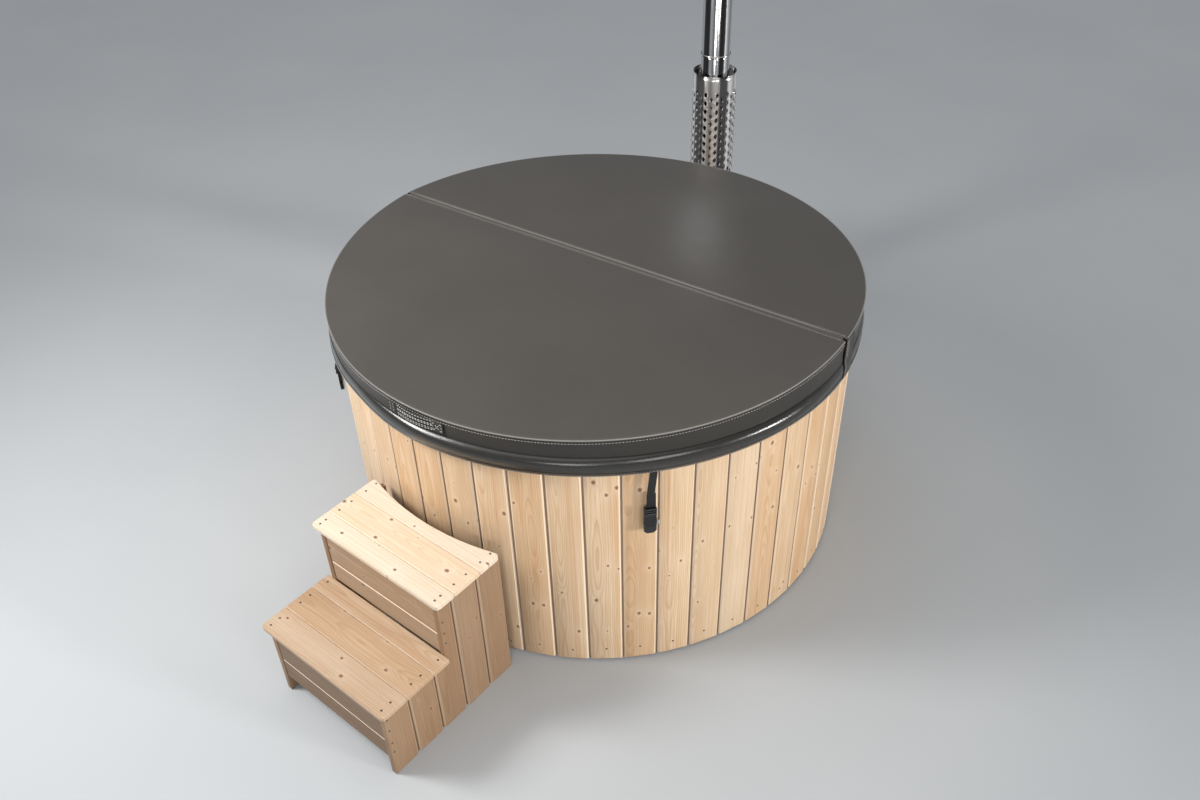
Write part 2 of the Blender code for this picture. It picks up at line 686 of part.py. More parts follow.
def half_cover(side, inset=0.0):
    """One padded half of the cover; an inset shrinks it on every side."""
    fold_y = FOLD_Y + side * (FOLD_GAP / 2 + inset)
    radius = COVER_RADIUS - inset
    edge = COVER_EDGE_ROUND
    low = COVER_BASE + inset
    rim = half_arc(side, radius - edge, fold_y)
    side_in = half_arc(side, radius - COVER_DRAW_IN, fold_y)
    side_out = half_arc(side, radius, fold_y)
    middle = (0.0, fold_y)
    bm = bmesh.new()
    rings = []
    for share in COVER_RINGS + (1.0,):
        spots = [(middle[0] + share * (x - middle[0]), middle[1] + share * (y - middle[1])) for x, y in rim]
        rings.append([bm.verts.new((x, y, cover_top(x, y) - inset)) for x, y in spots])
    tops = [cover_top(x, y) - inset - edge for x, y in side_out]
    rings.append([bm.verts.new((x, y, z)) for (x, y), z in zip(side_out, tops)])
    rings.append([bm.verts.new((x, y, (z + low) / 2)) for (x, y), z in zip(side_in, tops)])
    rings.append([bm.verts.new((x, y, low + edge)) for x, y in side_out])
    rings.append([bm.verts.new((x, y, low)) for x, y in rim])
    summit = bm.verts.new((*middle, cover_top(*middle) - inset))
    base = bm.verts.new((*middle, low))
    for ring, following in zip(rings, rings[1:]):
        for i in range(COVER_ARC_STEPS):
            bm.faces.new((ring[i], ring[i + 1], following[i + 1], following[i]))
    for pole, ring in ((summit, rings[0]), (base, rings[-1])):
        for i in range(COVER_ARC_STEPS):
            bm.faces.new((pole, ring[i], ring[i + 1]))
    for end in (0, -1):
        fold_edge = [summit] + [ring[end] for ring in rings]
        for upper, lower in zip(fold_edge, fold_edge[1:]):
            bm.faces.new((base, upper, lower))
    bmesh.ops.triangulate(bm, faces=bm.faces, quad_method="FIXED")
    return finish_mesh(bm)


def zip_slot(side):
    """The zipped opening in the fold face that the foam core goes in by."""
    near = FOLD_Y
    far = FOLD_Y + side * (FOLD_GAP + 2 * JACKET_WALL)
    z = (COVER_BASE + RIDGE_Z) / 2
    half = COVER_RADIUS - ZIP_END_MARGIN
    outline = rectangle(-half, half, min(near, far), max(near, far))
    return extrude(outline, z - ZIP_OPENING / 2, z + ZIP_OPENING / 2)


def skirt_profile():
    """Bulging skirt: sewn lap and outer face down to the hem, then back up inside."""
    seam = COVER_RADIUS + CLEARANCE + SKIRT_THICKNESS
    seam_z = COVER_BASE + COVER_EDGE_ROUND
    outer = [(seam, SKIRT_TOP_Z)]
    for i in range(SKIRT_POINTS + 1):
        share = i / SKIRT_POINTS
        radius = seam + (SKIRT_HEM_OUT - SKIRT_THICKNESS) * share + SKIRT_BULGE * math.sin(math.pi * share)
        outer.append((radius, seam_z + (HEM_Z - seam_z) * share))
    inner = [(radius - SKIRT_THICKNESS, height) for radius, height in outer[::-1]]
    return outer + inner


def build_skirt(name, side, mat, origin):
    slit = SLIT_WIDTH / 2 / COVER_RADIUS
    start = math.asin(FOLD_Y / COVER_RADIUS) + side * slit
    end = side * math.pi - math.asin(FOLD_Y / COVER_RADIUS) - side * slit
    add_piece(name, arc_sweep(skirt_profile(), start, end, COVER_ARC_STEPS), mat, origin=origin, smooth=50)


def build_cover(vinyl, foam):
    for name, side, origin in (("front", -1, (0.0, FOLD_Y, RIDGE_Z)), ("back", 1, (0.0, 0.0, RIM_HEIGHT))):
        jacket = add_piece(f"cover_{name}_jacket", half_cover(side), vinyl, origin=origin, smooth=50)
        cut(jacket, half_cover(side, JACKET_WALL))
        cut(jacket, zip_slot(side))
        core = half_cover(side, JACKET_WALL + CLEARANCE)
        add_piece(f"cover_{name}_core", core, foam, origin=origin, smooth=50)
        build_skirt(f"cover_{name}_skirt", side, vinyl, origin)


def handle_standoff(along):
    """How far the webbing stands off the cover, at a distance from the handle's middle."""
    free = HANDLE_LENGTH / 2 - HANDLE_SEWN
    return HANDLE_GAP * math.cos(math.pi / 2 * min(abs(along) / free, 1.0))


def build_handle(mat):
    inner = []
    outer = []
    for i in range(HANDLE_STEPS + 1):
        along = HANDLE_LENGTH * (i / HANDLE_STEPS - 0.5)
        angle = FRONT + along / COVER_RADIUS
        radius = COVER_RADIUS + CLEARANCE + handle_standoff(along)
        inner.append(polar(radius, angle))
        outer.append(polar(radius + HANDLE_THICKNESS, angle))
    low = SKIRT_TOP_Z + CLEARANCE
    bm = extrude(outer + inner[::-1], low, low + HANDLE_HEIGHT)
    add_piece("cover_handle", bm, mat, origin=(0.0, FOLD_Y, RIDGE_Z), smooth=50)


# Straps and buckles, each in a frame on the hem with +Y pointing away from the tub

def strap_outline(lean):
    half = STRAP_WIDTH / 2
    end = -STRAP_LENGTH - STRAP_SOCKET_DEPTH + CLEARANCE
    left = [(-half, 0.0), (lean - half, -STRAP_LEAN_LENGTH), (lean - half, end)]
    right = [(lean + half, end), (lean + half, -STRAP_LEAN_LENGTH), (half, 0.0)]
    return left + right


def build_prongs(name, lean, frame, mat):
    half = BUCKLE_WIDTH / 2
    top = -STRAP_LENGTH
    low = top - PRONG_BLOCK_LENGTH
    block = rounded_rectangle(lean - half, lean + half, low, top, BUCKLE_CORNER)
    depth = BUCKLE_THICKNESS / 2
    piece = add_piece(name, extrude(block, -depth, depth, "Y"), mat, frame)
    inside = half - BUCKLE_WALL - PRONG_SIDE_GAP
    for side in (-1, 1):
        outer = lean + side * inside
        inner = outer - side * PRONG_WIDTH
        arm = rectangle(min(outer, inner), max(outer, inner), low - PRONG_LENGTH, low + BUCKLE_CORNER)
        join(piece, extrude(arm, -PRONG_THICKNESS / 2, PRONG_THICKNESS / 2, "Y"))
    room = STRAP_WIDTH / 2 + CLEARANCE
    socket = rectangle(lean - room, lean + room, top - STRAP_SOCKET_DEPTH, top + CUT_PAST)
    depth = STRAP_THICKNESS / 2 + CLEARANCE
    cut(piece, extrude(socket, -depth, depth, "Y"))


def build_buckle_body(name, lean, frame, mat):
    half = BUCKLE_WIDTH / 2
    top = -STRAP_LENGTH - PRONG_BLOCK_LENGTH - CLEARANCE
    low = top - BUCKLE_BODY_LENGTH
    tip = BUCKLE_TIP_CUT
    outline = [(lean - half, top), (lean - half, low + tip), (lean - half + tip, low),
               (lean + half - tip, low), (lean + half, low + tip), (lean + half, top)]
    depth = BUCKLE_THICKNESS / 2
    piece = add_piece(name, extrude(outline, -depth, depth, "Y"), mat, frame, (lean, 0.0, top))
    room = half - BUCKLE_WALL
    bottom = top - PRONG_LENGTH - RUNNING_GAP
    thick = PRONG_THICKNESS / 2 + RUNNING_GAP
    cut(piece, extrude(rectangle(lean - room, lean + room, bottom, top + CUT_PAST), -thick, thick, "Y"))
    window_low = bottom + PRONG_SIDE_GAP
    window = rectangle(lean - half - CUT_PAST, lean + half + CUT_PAST, window_low,
                       window_low + BUCKLE_WINDOW_HEIGHT)
    cut(piece, extrude(window, -thick, thick, "Y"))


def build_straps(webbing, plastic):
    radius = COVER_RADIUS + CLEARANCE + SKIRT_HEM_OUT - SKIRT_THICKNESS / 2
    for name, side in (("left", -1), ("right", 1)):
        angle = FRONT + side * math.radians(STRAP_ANGLE)
        place = (*polar(radius, angle), HEM_Z - STRAP_HEM_GAP)
        frame = add_frame(f"strap_frame_{name}", angle + FRONT, place)
        lean = side * STRAP_LEAN
        half = STRAP_THICKNESS / 2
        add_piece(f"strap_{name}", extrude(strap_outline(lean), -half, half, "Y"), webbing, frame)
        build_prongs(f"buckle_prongs_{name}", lean, frame, plastic)
        build_buckle_body(f"buckle_body_{name}", lean, frame, plastic)


# Step, in a frame with its back corners on the X axis and its front towards -Y

def hollow_edge(half_width, back, steps=12):
    """The rear edge of the upper tread, from left to right, hollowed to the tub's round."""
    rise = math.sqrt(TREAD_HOLLOW_RADIUS ** 2 - half_width ** 2)
    lean = math.asin(half_width / TREAD_HOLLOW_RADIUS)
    return arc((0.0, back + rise), TREAD_HOLLOW_RADIUS, FRONT - lean, FRONT + lean, steps)


def tread_outline(front, back, round_front, hollow):
    """A tread board from above: rounded corners at the nose, a hollow at the tub."""
    half_width = STEP_WIDTH / 2
    corner = TREAD_CORNER
    inside = half_width - corner
    quarter = math.pi / 2
    if round_front:
        outline = arc((-inside, front + corner), corner, 2 * quarter, 3 * quarter, 3)
        outline += arc((inside, front + corner), corner, -quarter, 0.0, 3)
    else:
        outline = [(-half_width, front), (half_width, front)]
    if hollow:
        outline += arc((inside, back - corner), corner, 0.0, quarter, 3)[:-1]
        outline += hollow_edge(inside, back)[::-1]
        outline += arc((-inside, back - corner), corner, quarter, 2 * quarter, 3)[1:]
    else:
        outline += [(half_width, back), (-half_width, back)]
    return outline


def build_tread(name, front, depth, front_board, top, hollow, frame, mat):
    """Three boards: one cut to width at the nose, a full one, and one that takes the rest."""
    seams = [front + front_board, front + front_board + BOARD_GAP + STEP_BOARD_WIDTH]
    starts = [front] + [seam + BOARD_GAP for seam in seams]
    ends = seams + [front + depth]
    for place, low, high in zip(("front", "middle", "rear"), starts, ends):
        outline = tread_outline(low, high, place == "front", hollow and place == "rear")
        bm = extrude(outline, top - TREAD_THICKNESS, top)
        piece = add_piece(f"{name}_tread_{place}", bm, mat, frame)
        ease_edges(piece, TREAD_BEVEL)


def side_panel_outline(outer_x, side):
    """Upright boards from above: grooved on the outer face, plain on the inner one."""
    front = -UPPER_TREAD_DEPTH - LOWER_TREAD_DEPTH + TREAD_NOSE
    seams = []
    seam = front + PANEL_FRONT_BOARD
    while seam < PANEL_BACK - STEP_BOARD_WIDTH / 4:
        seams.append(seam)
        seam += STEP_BOARD_WIDTH
    half_slot = SEAM_SLOT_WIDTH / 2
    outline = [(outer_x, front)]
    for seam in seams:
        outline += [(outer_x, seam - half_slot - SEAM_BEVEL_WIDTH),
                    (outer_x - side * SEAM_BEVEL_DEPTH, seam - half_slot),
                    (outer_x - side * SEAM_SLOT_DEPTH, seam - half_slot),
                    (outer_x - side * SEAM_SLOT_DEPTH, seam + half_slot),
                    (outer_x - side * SEAM_BEVEL_DEPTH, seam + half_slot),
                    (outer_x, seam + half_slot + SEAM_BEVEL_WIDTH)]
    inner_x = outer_x - side * PANEL_THICKNESS
    return outline + [(outer_x, PANEL_BACK), (inner_x, PANEL_BACK), (inner_x, front)]


def build_side_panels(frame, mat):
    front = -UPPER_TREAD_DEPTH - LOWER_TREAD_DEPTH + TREAD_NOSE
    notch_back = -UPPER_TREAD_DEPTH + TREAD_NOSE
    notch_low = LOWER_TREAD_HEIGHT - TREAD_THICKNESS - CLEARANCE
    top = UPPER_TREAD_HEIGHT - TREAD_THICKNESS - CLEARANCE
    for name, side in (("left", -1), ("right", 1)):
        outer_x = side * (STEP_WIDTH / 2 - TREAD_SIDE_OVERHANG)
        bm = extrude(side_panel_outline(outer_x, side), 0.0, top)
        panel = add_piece(f"step_side_{name}", bm, mat, frame)
        near = outer_x - side * (PANEL_THICKNESS + CUT_PAST)
        far = outer_x + side * CUT_PAST
        notch = rectangle(min(near, far), max(near, far), front - CUT_PAST, notch_back)
        cut(panel, extrude(notch, notch_low, top + CUT_PAST))


def build_riser(name, front, low, high, frame, mat):
    half_width = STEP_WIDTH / 2 - TREAD_SIDE_OVERHANG - PANEL_THICKNESS - CLEARANCE
    face = front + RISER_INSET
    outline = rectangle(-half_width, half_width, face, face + RISER_THICKNESS)
    seam = low + RISER_LOWER_BOARD
    for place, bottom, top in (("lower", low, seam), ("upper", seam + BOARD_GAP, high)):
        piece = add_piece(f"{name}_riser_{place}", extrude(outline, bottom, top), mat, frame)
        ease_edges(piece, RISER_BEVEL)


def build_step(mat):
    frame = add_frame("step_frame", math.radians(STEP_TURN), (STEP_X, STEP_BACK_Y, 0.0))
    lower_front = -UPPER_TREAD_DEPTH - LOWER_TREAD_DEPTH
    build_side_panels(frame, mat)
    build_tread("upper", -UPPER_TREAD_DEPTH, UPPER_TREAD_DEPTH, UPPER_TREAD_FRONT_BOARD, UPPER_TREAD_HEIGHT,
                True, frame, mat)
    lower_depth = LOWER_TREAD_DEPTH + TREAD_NOSE - CLEARANCE
    build_tread("lower", lower_front, lower_depth, LOWER_TREAD_FRONT_BOARD, LOWER_TREAD_HEIGHT, False, frame, mat)
    under_lower = LOWER_TREAD_HEIGHT - TREAD_THICKNESS - CLEARANCE
    under_upper = UPPER_TREAD_HEIGHT - TREAD_THICKNESS - CLEARANCE
    build_riser("lower", lower_front + TREAD_NOSE, LOWER_RISER_BOTTOM, under_lower, frame, mat)
    upper_front = -UPPER_TREAD_DEPTH + TREAD_NOSE
    build_riser("upper", upper_front, LOWER_TREAD_HEIGHT + CLEARANCE, under_upper, frame, mat)


# Stove, in a frame turned so that +Y points away from the tub

def build_casing(frame, mat):
    """The stove's body: a box of double walls, open at its front."""
    end = FIRE_FAR - CLEARANCE
    outline = round_end(CASING_WIDTH / 2, end, CASING_NEAR, CASING_CORNER)
    casing = add_piece("stove_casing", extrude(outline, CASING_BOTTOM, CASING_TOP), mat, frame, smooth=35)
    fire = rectangle(-FIRE_HALF_WIDTH, FIRE_HALF_WIDTH, FIRE_NEAR, FIRE_FAR + CUT_PAST)
    cut(casing, extrude(fire, FIRE_FLOOR, FIRE_ROOF))
    flue = circle(FLUE_RADIUS - FLUE_WALL, FLUE_SEGMENTS, (0.0, CHIMNEY_REACH))
    cut(casing, extrude(flue, FIRE_ROOF - CUT_PAST, CASING_TOP + CUT_PAST))
    for side in (-1, 1):
        wall = side * (FIRE_HALF_WIDTH + CUT_PAST)
        inner = side * (FIRE_HALF_WIDTH - LEDGE_WIDTH)
        ledge = rectangle(min(wall, inner), max(wall, inner), FIRE_NEAR - CUT_PAST, end)
        join(casing, extrude(ledge, LEDGE_TOP - LEDGE_THICKNESS, LEDGE_TOP))


def build_front(frame, mat):
    """The front wall, with the doorway, the drawer's slot and the door's hinge lugs."""
    outline = round_end(CASING_WIDTH / 2, FIRE_FAR, CASING_FRONT, FRONT_CORNER)
    front = add_piece("stove_front", extrude(outline, CASING_BOTTOM, CASING_TOP), mat, frame, smooth=35)
    half = DOORWAY_WIDTH / 2
    doorway = rounded_rectangle(-half, half, DOORWAY_LOW, DOORWAY_LOW + DOORWAY_HEIGHT, DOOR_CORNER)
    cut(front, extrude(doorway, FIRE_FAR - CUT_PAST, CASING_FRONT + CUT_PAST, "Y"))
    slot = rectangle(-DRAWER_WIDTH / 2, DRAWER_WIDTH / 2, FIRE_FLOOR, FIRE_FLOOR + DRAWER_HEIGHT)
    cut(front, extrude(slot, FIRE_FAR - CUT_PAST, CASING_FRONT + CUT_PAST, "Y"))
    eye = KNUCKLE_LENGTH / 2 + CLEARANCE
    for low in (HINGE_Z - eye - LUG_LENGTH, HINGE_Z + eye):
        join(front, extrude(lug_outline(), low, low + LUG_LENGTH))
    bore = circle(PIN_RADIUS + CLEARANCE, PIPE_SEGMENTS, (HINGE_X, HINGE_Y))
    reach = KNUCKLE_LENGTH / 2 + LUG_LENGTH + CUT_PAST
    cut(front, extrude(bore, HINGE_Z - reach, HINGE_Z + reach))


def lug_outline():
    """A hinge lug from above: a round eye on a web that stands on the front wall."""
    root = CASING_FRONT - CUT_PAST
    eye = arc((HINGE_X, HINGE_Y), KNUCKLE_RADIUS, 0.0, math.pi, 8)
    return eye + [(HINGE_X - KNUCKLE_RADIUS, root), (HINGE_X + KNUCKLE_RADIUS, root)]


def build_stand(frame, mat):
    half = CASING_WIDTH / 2 - STAND_INSET
    near = CASING_NEAR + STAND_INSET
    far = CASING_FRONT - STAND_INSET
    top = CASING_BOTTOM - CLEARANCE
    rail_low = top - STAND_RAIL
    stand = add_piece("stove_stand", extrude(rectangle(-half, half, near, far), rail_low, top), mat, frame)
    inner = rectangle(-half + STAND_RAIL, half - STAND_RAIL, near + STAND_RAIL, far - STAND_RAIL)
    cut(stand, extrude(inner, rail_low - CUT_PAST, top + CUT_PAST))
    for x in (-half, half - STAND_RAIL):
        for y in (near, far - STAND_RAIL):
            join(stand, extrude(rectangle(x, x + STAND_RAIL, y, y + STAND_RAIL), 0.0, top))


def build_door(frame, mat, pin_mat, grip_mat):
    outline = rounded_rectangle(-DOOR_HALF_WIDTH, DOOR_HALF_WIDTH, DOOR_LOW, DOOR_HIGH, DOOR_CORNER)
    origin = (HINGE_X, HINGE_Y, HINGE_Z)
    door = add_piece("stove_door", extrude(outline, DOOR_BACK, DOOR_FACE, "Y"), mat, frame, origin)
    low = HINGE_Z - KNUCKLE_LENGTH / 2
    high = HINGE_Z + KNUCKLE_LENGTH / 2
    leaf = rectangle(HINGE_X, -DOOR_HALF_WIDTH + DOOR_LAP, HINGE_Y - LEAF_THICKNESS, HINGE_Y)
    join(door, extrude(leaf, low, high))
    join(door, extrude(circle(KNUCKLE_RADIUS, PIPE_SEGMENTS, (HINGE_X, HINGE_Y)), low, high))
    bore = circle(PIN_RADIUS + RUNNING_GAP, PIPE_SEGMENTS, (HINGE_X, HINGE_Y))
    cut(door, extrude(bore, low - CUT_PAST, high + CUT_PAST))
    foot = low - CLEARANCE - LUG_LENGTH
    head = high + 2 * CLEARANCE + LUG_LENGTH
    pin = [(0.0, foot), (PIN_RADIUS, foot), (PIN_RADIUS, head), (PIN_HEAD_RADIUS, head),
           (PIN_HEAD_RADIUS, head + PIN_HEAD_HEIGHT), (0.0, head + PIN_HEAD_HEIGHT)]
    rod = moved(lathe(pin, PIPE_SEGMENTS), HINGE_X, HINGE_Y)
    add_piece("stove_hinge_pin", rod, pin_mat, frame, smooth=40)
    build_latch(frame, grip_mat)


def build_latch(frame, mat):
    """A turned hub on the door with a bar that hangs down to a round grip."""
    back = DOOR_FACE + CLEARANCE
    front = back + LATCH_HUB_LENGTH
    hub = moved(along_y(extrude(circle(LATCH_HUB_RADIUS, PIPE_SEGMENTS), back, front)), LATCH_X, 0.0, HINGE_Z)
    latch = add_piece("stove_latch_handle", hub, mat, frame, (LATCH_X, back, HINGE_Z), smooth=40)
    half = LATCH_BAR / 2
    bar = rectangle(LATCH_X - half, LATCH_X + half, HINGE_Z - LATCH_LENGTH, HINGE_Z)
    join(latch, extrude(bar, front - LATCH_BAR, front - LATCH_BAR / 4, "Y"))
    grip = lathe(ball_profile(LATCH_KNOB_RADIUS), PIPE_SEGMENTS)
    join(latch, moved(grip, LATCH_X, front - LATCH_BAR / 2, HINGE_Z - LATCH_LENGTH))


def ball_profile(radius, steps=8):
    return [(radius * math.sin(math.pi * i / steps), -radius * math.cos(math.pi * i / steps))
            if 0 < i < steps else (0.0, -radius if i == 0 else radius) for i in range(steps + 1)]


def build_grate(frame, mat):
    half = FIRE_HALF_WIDTH - GRATE_MARGIN
    near = FIRE_NEAR + GRATE_MARGIN
    far = FIRE_FAR - GRATE_MARGIN
    low = LEDGE_TOP + CLEARANCE
    outline = rectangle(-half, half, near, far)
    grate = add_piece("fire_grate", extrude(outline, low, low + GRATE_THICKNESS), mat, frame)
    open_half = half - GRATE_RIM
    pitch = 2 * open_half / GRATE_BARS
    for i in range(GRATE_BARS):
        x = -open_half + i * pitch + pitch * GRATE_BAR_SHARE / 2
        slot = rectangle(x, x + pitch * (1 - GRATE_BAR_SHARE), near + GRATE_RIM, far - GRATE_RIM)
        cut(grate, extrude(slot, low - CUT_PAST, low + GRATE_THICKNESS + CUT_PAST))


def build_drawer(frame, mat):
    half = DRAWER_WIDTH / 2 - DRAWER_SIDE_GAP
    low = FIRE_FLOOR + CLEARANCE
    high = FIRE_FLOOR + DRAWER_HEIGHT - DRAWER_SIDE_GAP
    far = CASING_FRONT + CLEARANCE + DRAWER_FACE_THICKNESS / 2
    near = FIRE_NEAR + DRAWER_BACK_GAP
    origin = (0.0, CASING_FRONT, low)
    tray = extrude(rectangle(-half, half, near, far), low, high)
    drawer = add_piece("ash_drawer", tray, mat, frame, origin)
    room = rectangle(-half + DRAWER_WALL, half - DRAWER_WALL, near + DRAWER_WALL, CASING_FRONT - DRAWER_WALL)
    cut(drawer, extrude(room, low + DRAWER_WALL, high + CUT_PAST))
    face_half = half + DRAWER_FACE_LAP
    face = rectangle(-face_half, face_half, low - DRAWER_FACE_LAP, high + DRAWER_FACE_LAP)
    back = CASING_FRONT + CLEARANCE
    join(drawer, extrude(face, back, back + DRAWER_FACE_THICKNESS, "Y"))
    knob = along_y(extrude(circle(KNOB_RADIUS, PIPE_SEGMENTS), back, back + KNOB_LENGTH))
    join(drawer, moved(knob, z=(low + high) / 2))


# Chimney

def build_flue(frame, steel):
    axis = (0.0, CHIMNEY_REACH)
    bore = FLUE_RADIUS + CLEARANCE
    inside = FLUE_RADIUS - FLUE_WALL
    flange_top = COLLAR_BASE + COLLAR_FLANGE_THICKNESS
    neck = bore + COLLAR_WALL
    collar_top = COLLAR_BASE + COLLAR_HEIGHT
    collar = [(bore, COLLAR_BASE), (COLLAR_FLANGE_RADIUS, COLLAR_BASE), (COLLAR_FLANGE_RADIUS, flange_top),
              (neck, flange_top), (neck, collar_top), (bore, collar_top)]
    bead_low = LOWER_PIPE_TOP
    bead_high = bead_low + BEAD_HEIGHT
    stop = LOWER_PIPE_TOP + CLEARANCE
    socket = bore + SOCKET_WALL
    upper = [(bore, UPPER_PIPE_BASE), (socket, UPPER_PIPE_BASE), (socket, bead_low),
             (BEAD_RADIUS, bead_low + BEAD_HEIGHT / 4), (BEAD_RADIUS, bead_high - BEAD_HEIGHT / 4),
             (FLUE_RADIUS, bead_high), (FLUE_RADIUS, UPPER_PIPE_TOP), (inside, UPPER_PIPE_TOP),
             (inside, stop), (bore, stop)]
    lower = tube(FLUE_RADIUS, inside, COLLAR_BASE, LOWER_PIPE_TOP, FLUE_SEGMENTS)
    for name, bm in (("flue_collar", lathe(collar, FLUE_SEGMENTS)), ("chimney_pipe_lower", lower),
                     ("chimney_pipe_upper", lathe(upper, FLUE_SEGMENTS))):
        add_piece(name, moved(bm, *axis), steel, frame, smooth=40)


def guard_skin(bm, radius):
    """One face of the guard: a plain band above and below staggered diamond openings."""
    turn = 2 * math.pi / GUARD_COLUMNS
    half_turn = GUARD_SLOT_WIDTH / 2 / GUARD_RADIUS
    first = GUARD_TOP - GUARD_BAND - GUARD_SLOT_HEIGHT / 2

    def spot(angle, height):
        return bm.verts.new((*polar(radius, angle), height))
    rims = {"top": [], "low": []}
    holes = []
    for i in range(GUARD_COLUMNS):
        angle = i * turn
        rims["top"].append(spot(angle, GUARD_TOP))
        rims["low"].append(spot(angle, GUARD_BASE))
        column = []
        for j in range(GUARD_ROWS):
            z = first - (j + (i % 2) / 2) * GUARD_ROW_PITCH
            column.append({"T": spot(angle, z + GUARD_SLOT_HEIGHT / 2), "R": spot(angle + half_turn, z),
                           "B": spot(angle, z - GUARD_SLOT_HEIGHT / 2), "L": spot(angle - half_turn, z)})
        holes.append(column)
    for i in range(GUARD_COLUMNS):
        j = (i + 1) % GUARD_COLUMNS
        guard_strip(bm, holes[i], holes[j], i % 2 == 0)
        for rim, end, row in (("top", "T", 0), ("low", "B", -1)):
            here, there = holes[i][row], holes[j][row]
            bm.faces.new((rims[rim][i], here[end], here["R"], there["L"], there[end], rims[rim][j]))
    return rims, holes


def guard_strip(bm, left, right, left_higher):
    """The web between two neighbouring columns of openings."""
    for row in range(GUARD_ROWS - 1):
        facing_right = left[row + 1] if left_higher else left[row]
        facing_left = right[row] if left_higher else right[row + 1]
        bm.faces.new((left[row]["R"], left[row]["B"], left[row + 1]["T"], left[row + 1]["R"],
                      facing_left["L"]))
        bm.faces.new((right[row]["L"], right[row]["B"], right[row + 1]["T"], right[row + 1]["L"],
                      facing_right["R"]))


def build_guard(frame, steel):
    bm = bmesh.new()
    outer_rims, outer_holes = guard_skin(bm, GUARD_RADIUS)
    inner_rims, inner_holes = guard_skin(bm, GUARD_RADIUS - GUARD_WALL)
    for rim in ("top", "low"):
        for i in range(GUARD_COLUMNS):
            j = (i + 1) % GUARD_COLUMNS
            bm.faces.new((outer_rims[rim][i], outer_rims[rim][j], inner_rims[rim][j], inner_rims[rim][i]))
    for outer_column, inner_column in zip(outer_holes, inner_holes):
        for outer, inner in zip(outer_column, inner_column):
            for a, b in zip("TRBL", "RBLT"):
                bm.faces.new((outer[a], outer[b], inner[b], inner[a]))
    bmesh.ops.triangulate(bm, faces=bm.faces)
    add_piece("chimney_guard", moved(finish_mesh(bm), 0.0, CHIMNEY_REACH), steel, frame)


def build_cap(frame, steel):
    """A shallow cone on three struts, clamped round the pipe's end by a band."""
    edge = UPPER_PIPE_TOP + CAP_GAP
    band_inner = FLUE_RADIUS + CLEARANCE
    band_outer = band_inner + CAP_BAND_WALL
    band_low = UPPER_PIPE_TOP - CAP_BAND_HEIGHT
    cone = [(0.0, edge + CAP_RISE), (CAP_RADIUS, edge), (CAP_RADIUS, edge - CAP_WALL),
            (0.0, edge + CAP_RISE - 2 * CAP_WALL)]
    roof = moved(lathe(cone, FLUE_SEGMENTS), 0.0, CHIMNEY_REACH)
    cap = add_piece("rain_cap", roof, steel, frame, smooth=30)
    band = tube(band_outer, band_inner, band_low, UPPER_PIPE_TOP, FLUE_SEGMENTS)
    join(cap, moved(band, 0.0, CHIMNEY_REACH))
    strut_outer = band_inner + CAP_STRUT_THICKNESS
    under = edge - CAP_WALL + (CAP_RISE - CAP_WALL) * (1 - strut_outer / CAP_RADIUS)
    half = CAP_STRUT_WIDTH / 2
    inner = band_inner + CAP_BAND_WALL / 2
    for i in range(CAP_STRUTS):
        strut = extrude(rectangle(-half, half, inner, strut_outer), band_low + CAP_WALL, under + CAP_WALL)
        turn = Matrix.Rotation(2 * math.pi * i / CAP_STRUTS, 4, "Z")
        bmesh.ops.transform(strut, matrix=turn, verts=strut.verts)
        join(cap, moved(strut, 0.0, CHIMNEY_REACH))


def build_stove(liner, panels, steel, iron, black, rubber):
    frame = add_frame("stove_frame", math.radians(STOVE_ANGLE) + FRONT)
    build_casing(frame, steel)
    build_front(frame, steel)
    build_stand(frame, iron)
    build_door(frame, iron, steel, black)
    build_grate(frame, iron)
    build_drawer(frame, steel)
    build_flue(frame, steel)
    build_guard(frame, steel)
    build_cap(frame, steel)
    wall = panel_at(panels, STOVE_ANGLE)
    end = CASING_NEAR - CLEARANCE
    build_pipe("water_pipe_upper", frame, UPPER_PIPE_HEIGHT, SEAT_WALL_RADIUS, end, True, rubber, liner, wall)
    build_pipe("water_pipe_lower", frame, LOWER_PIPE_HEIGHT, FOOTWELL_RADIUS, end, True, rubber, liner, wall)


def main():
    clear_scene()
    spruce = make_material("spruce", (0.66, 0.47, 0.28), 0.60)
    dark_wood = make_material("treated_wood", (0.35, 0.24, 0.14), 0.70)
    gelcoat = make_material("liner_gelcoat", (0.52, 0.60, 0.64), 0.25)
    vinyl = make_material("vinyl", (0.090, 0.080, 0.072), 0.42)
    foam = make_material("foam", (0.85, 0.85, 0.82), 0.90)
    webbing = make_material("webbing", (0.030, 0.030, 0.032), 0.75)
    black = make_material("black_plastic", (0.012, 0.012, 0.013), 0.30)
    steel = make_material("stainless_steel", (0.66, 0.66, 0.67), 0.25, 1.0)
    iron = make_material("black_iron", (0.030, 0.030, 0.030), 0.55, 0.8)
    brass = make_material("valve_brass", (0.70, 0.52, 0.22), 0.35, 1.0)
    rubber = make_material("hose_rubber", (0.020, 0.020, 0.020), 0.70)
    build_base(dark_wood)
    build_battens(dark_wood)
    panels = build_wall(spruce)
    liner = build_liner(gelcoat)
    build_drain(liner, panels, black, brass, black)
    build_cover(vinyl, foam)
    build_handle(webbing)
    build_straps(webbing, black)
    build_step(spruce)
    build_stove(liner, panels, steel, iron, black, rubber)


main()
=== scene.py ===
"""Looks of the wooden hot tub: soft forms, trim, materials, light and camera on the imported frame."""
from math import asin, atan2, cos, degrees, exp, hypot, pi, radians, sin, sqrt, tau

import bpy
from mathutils import Matrix, Vector, noise


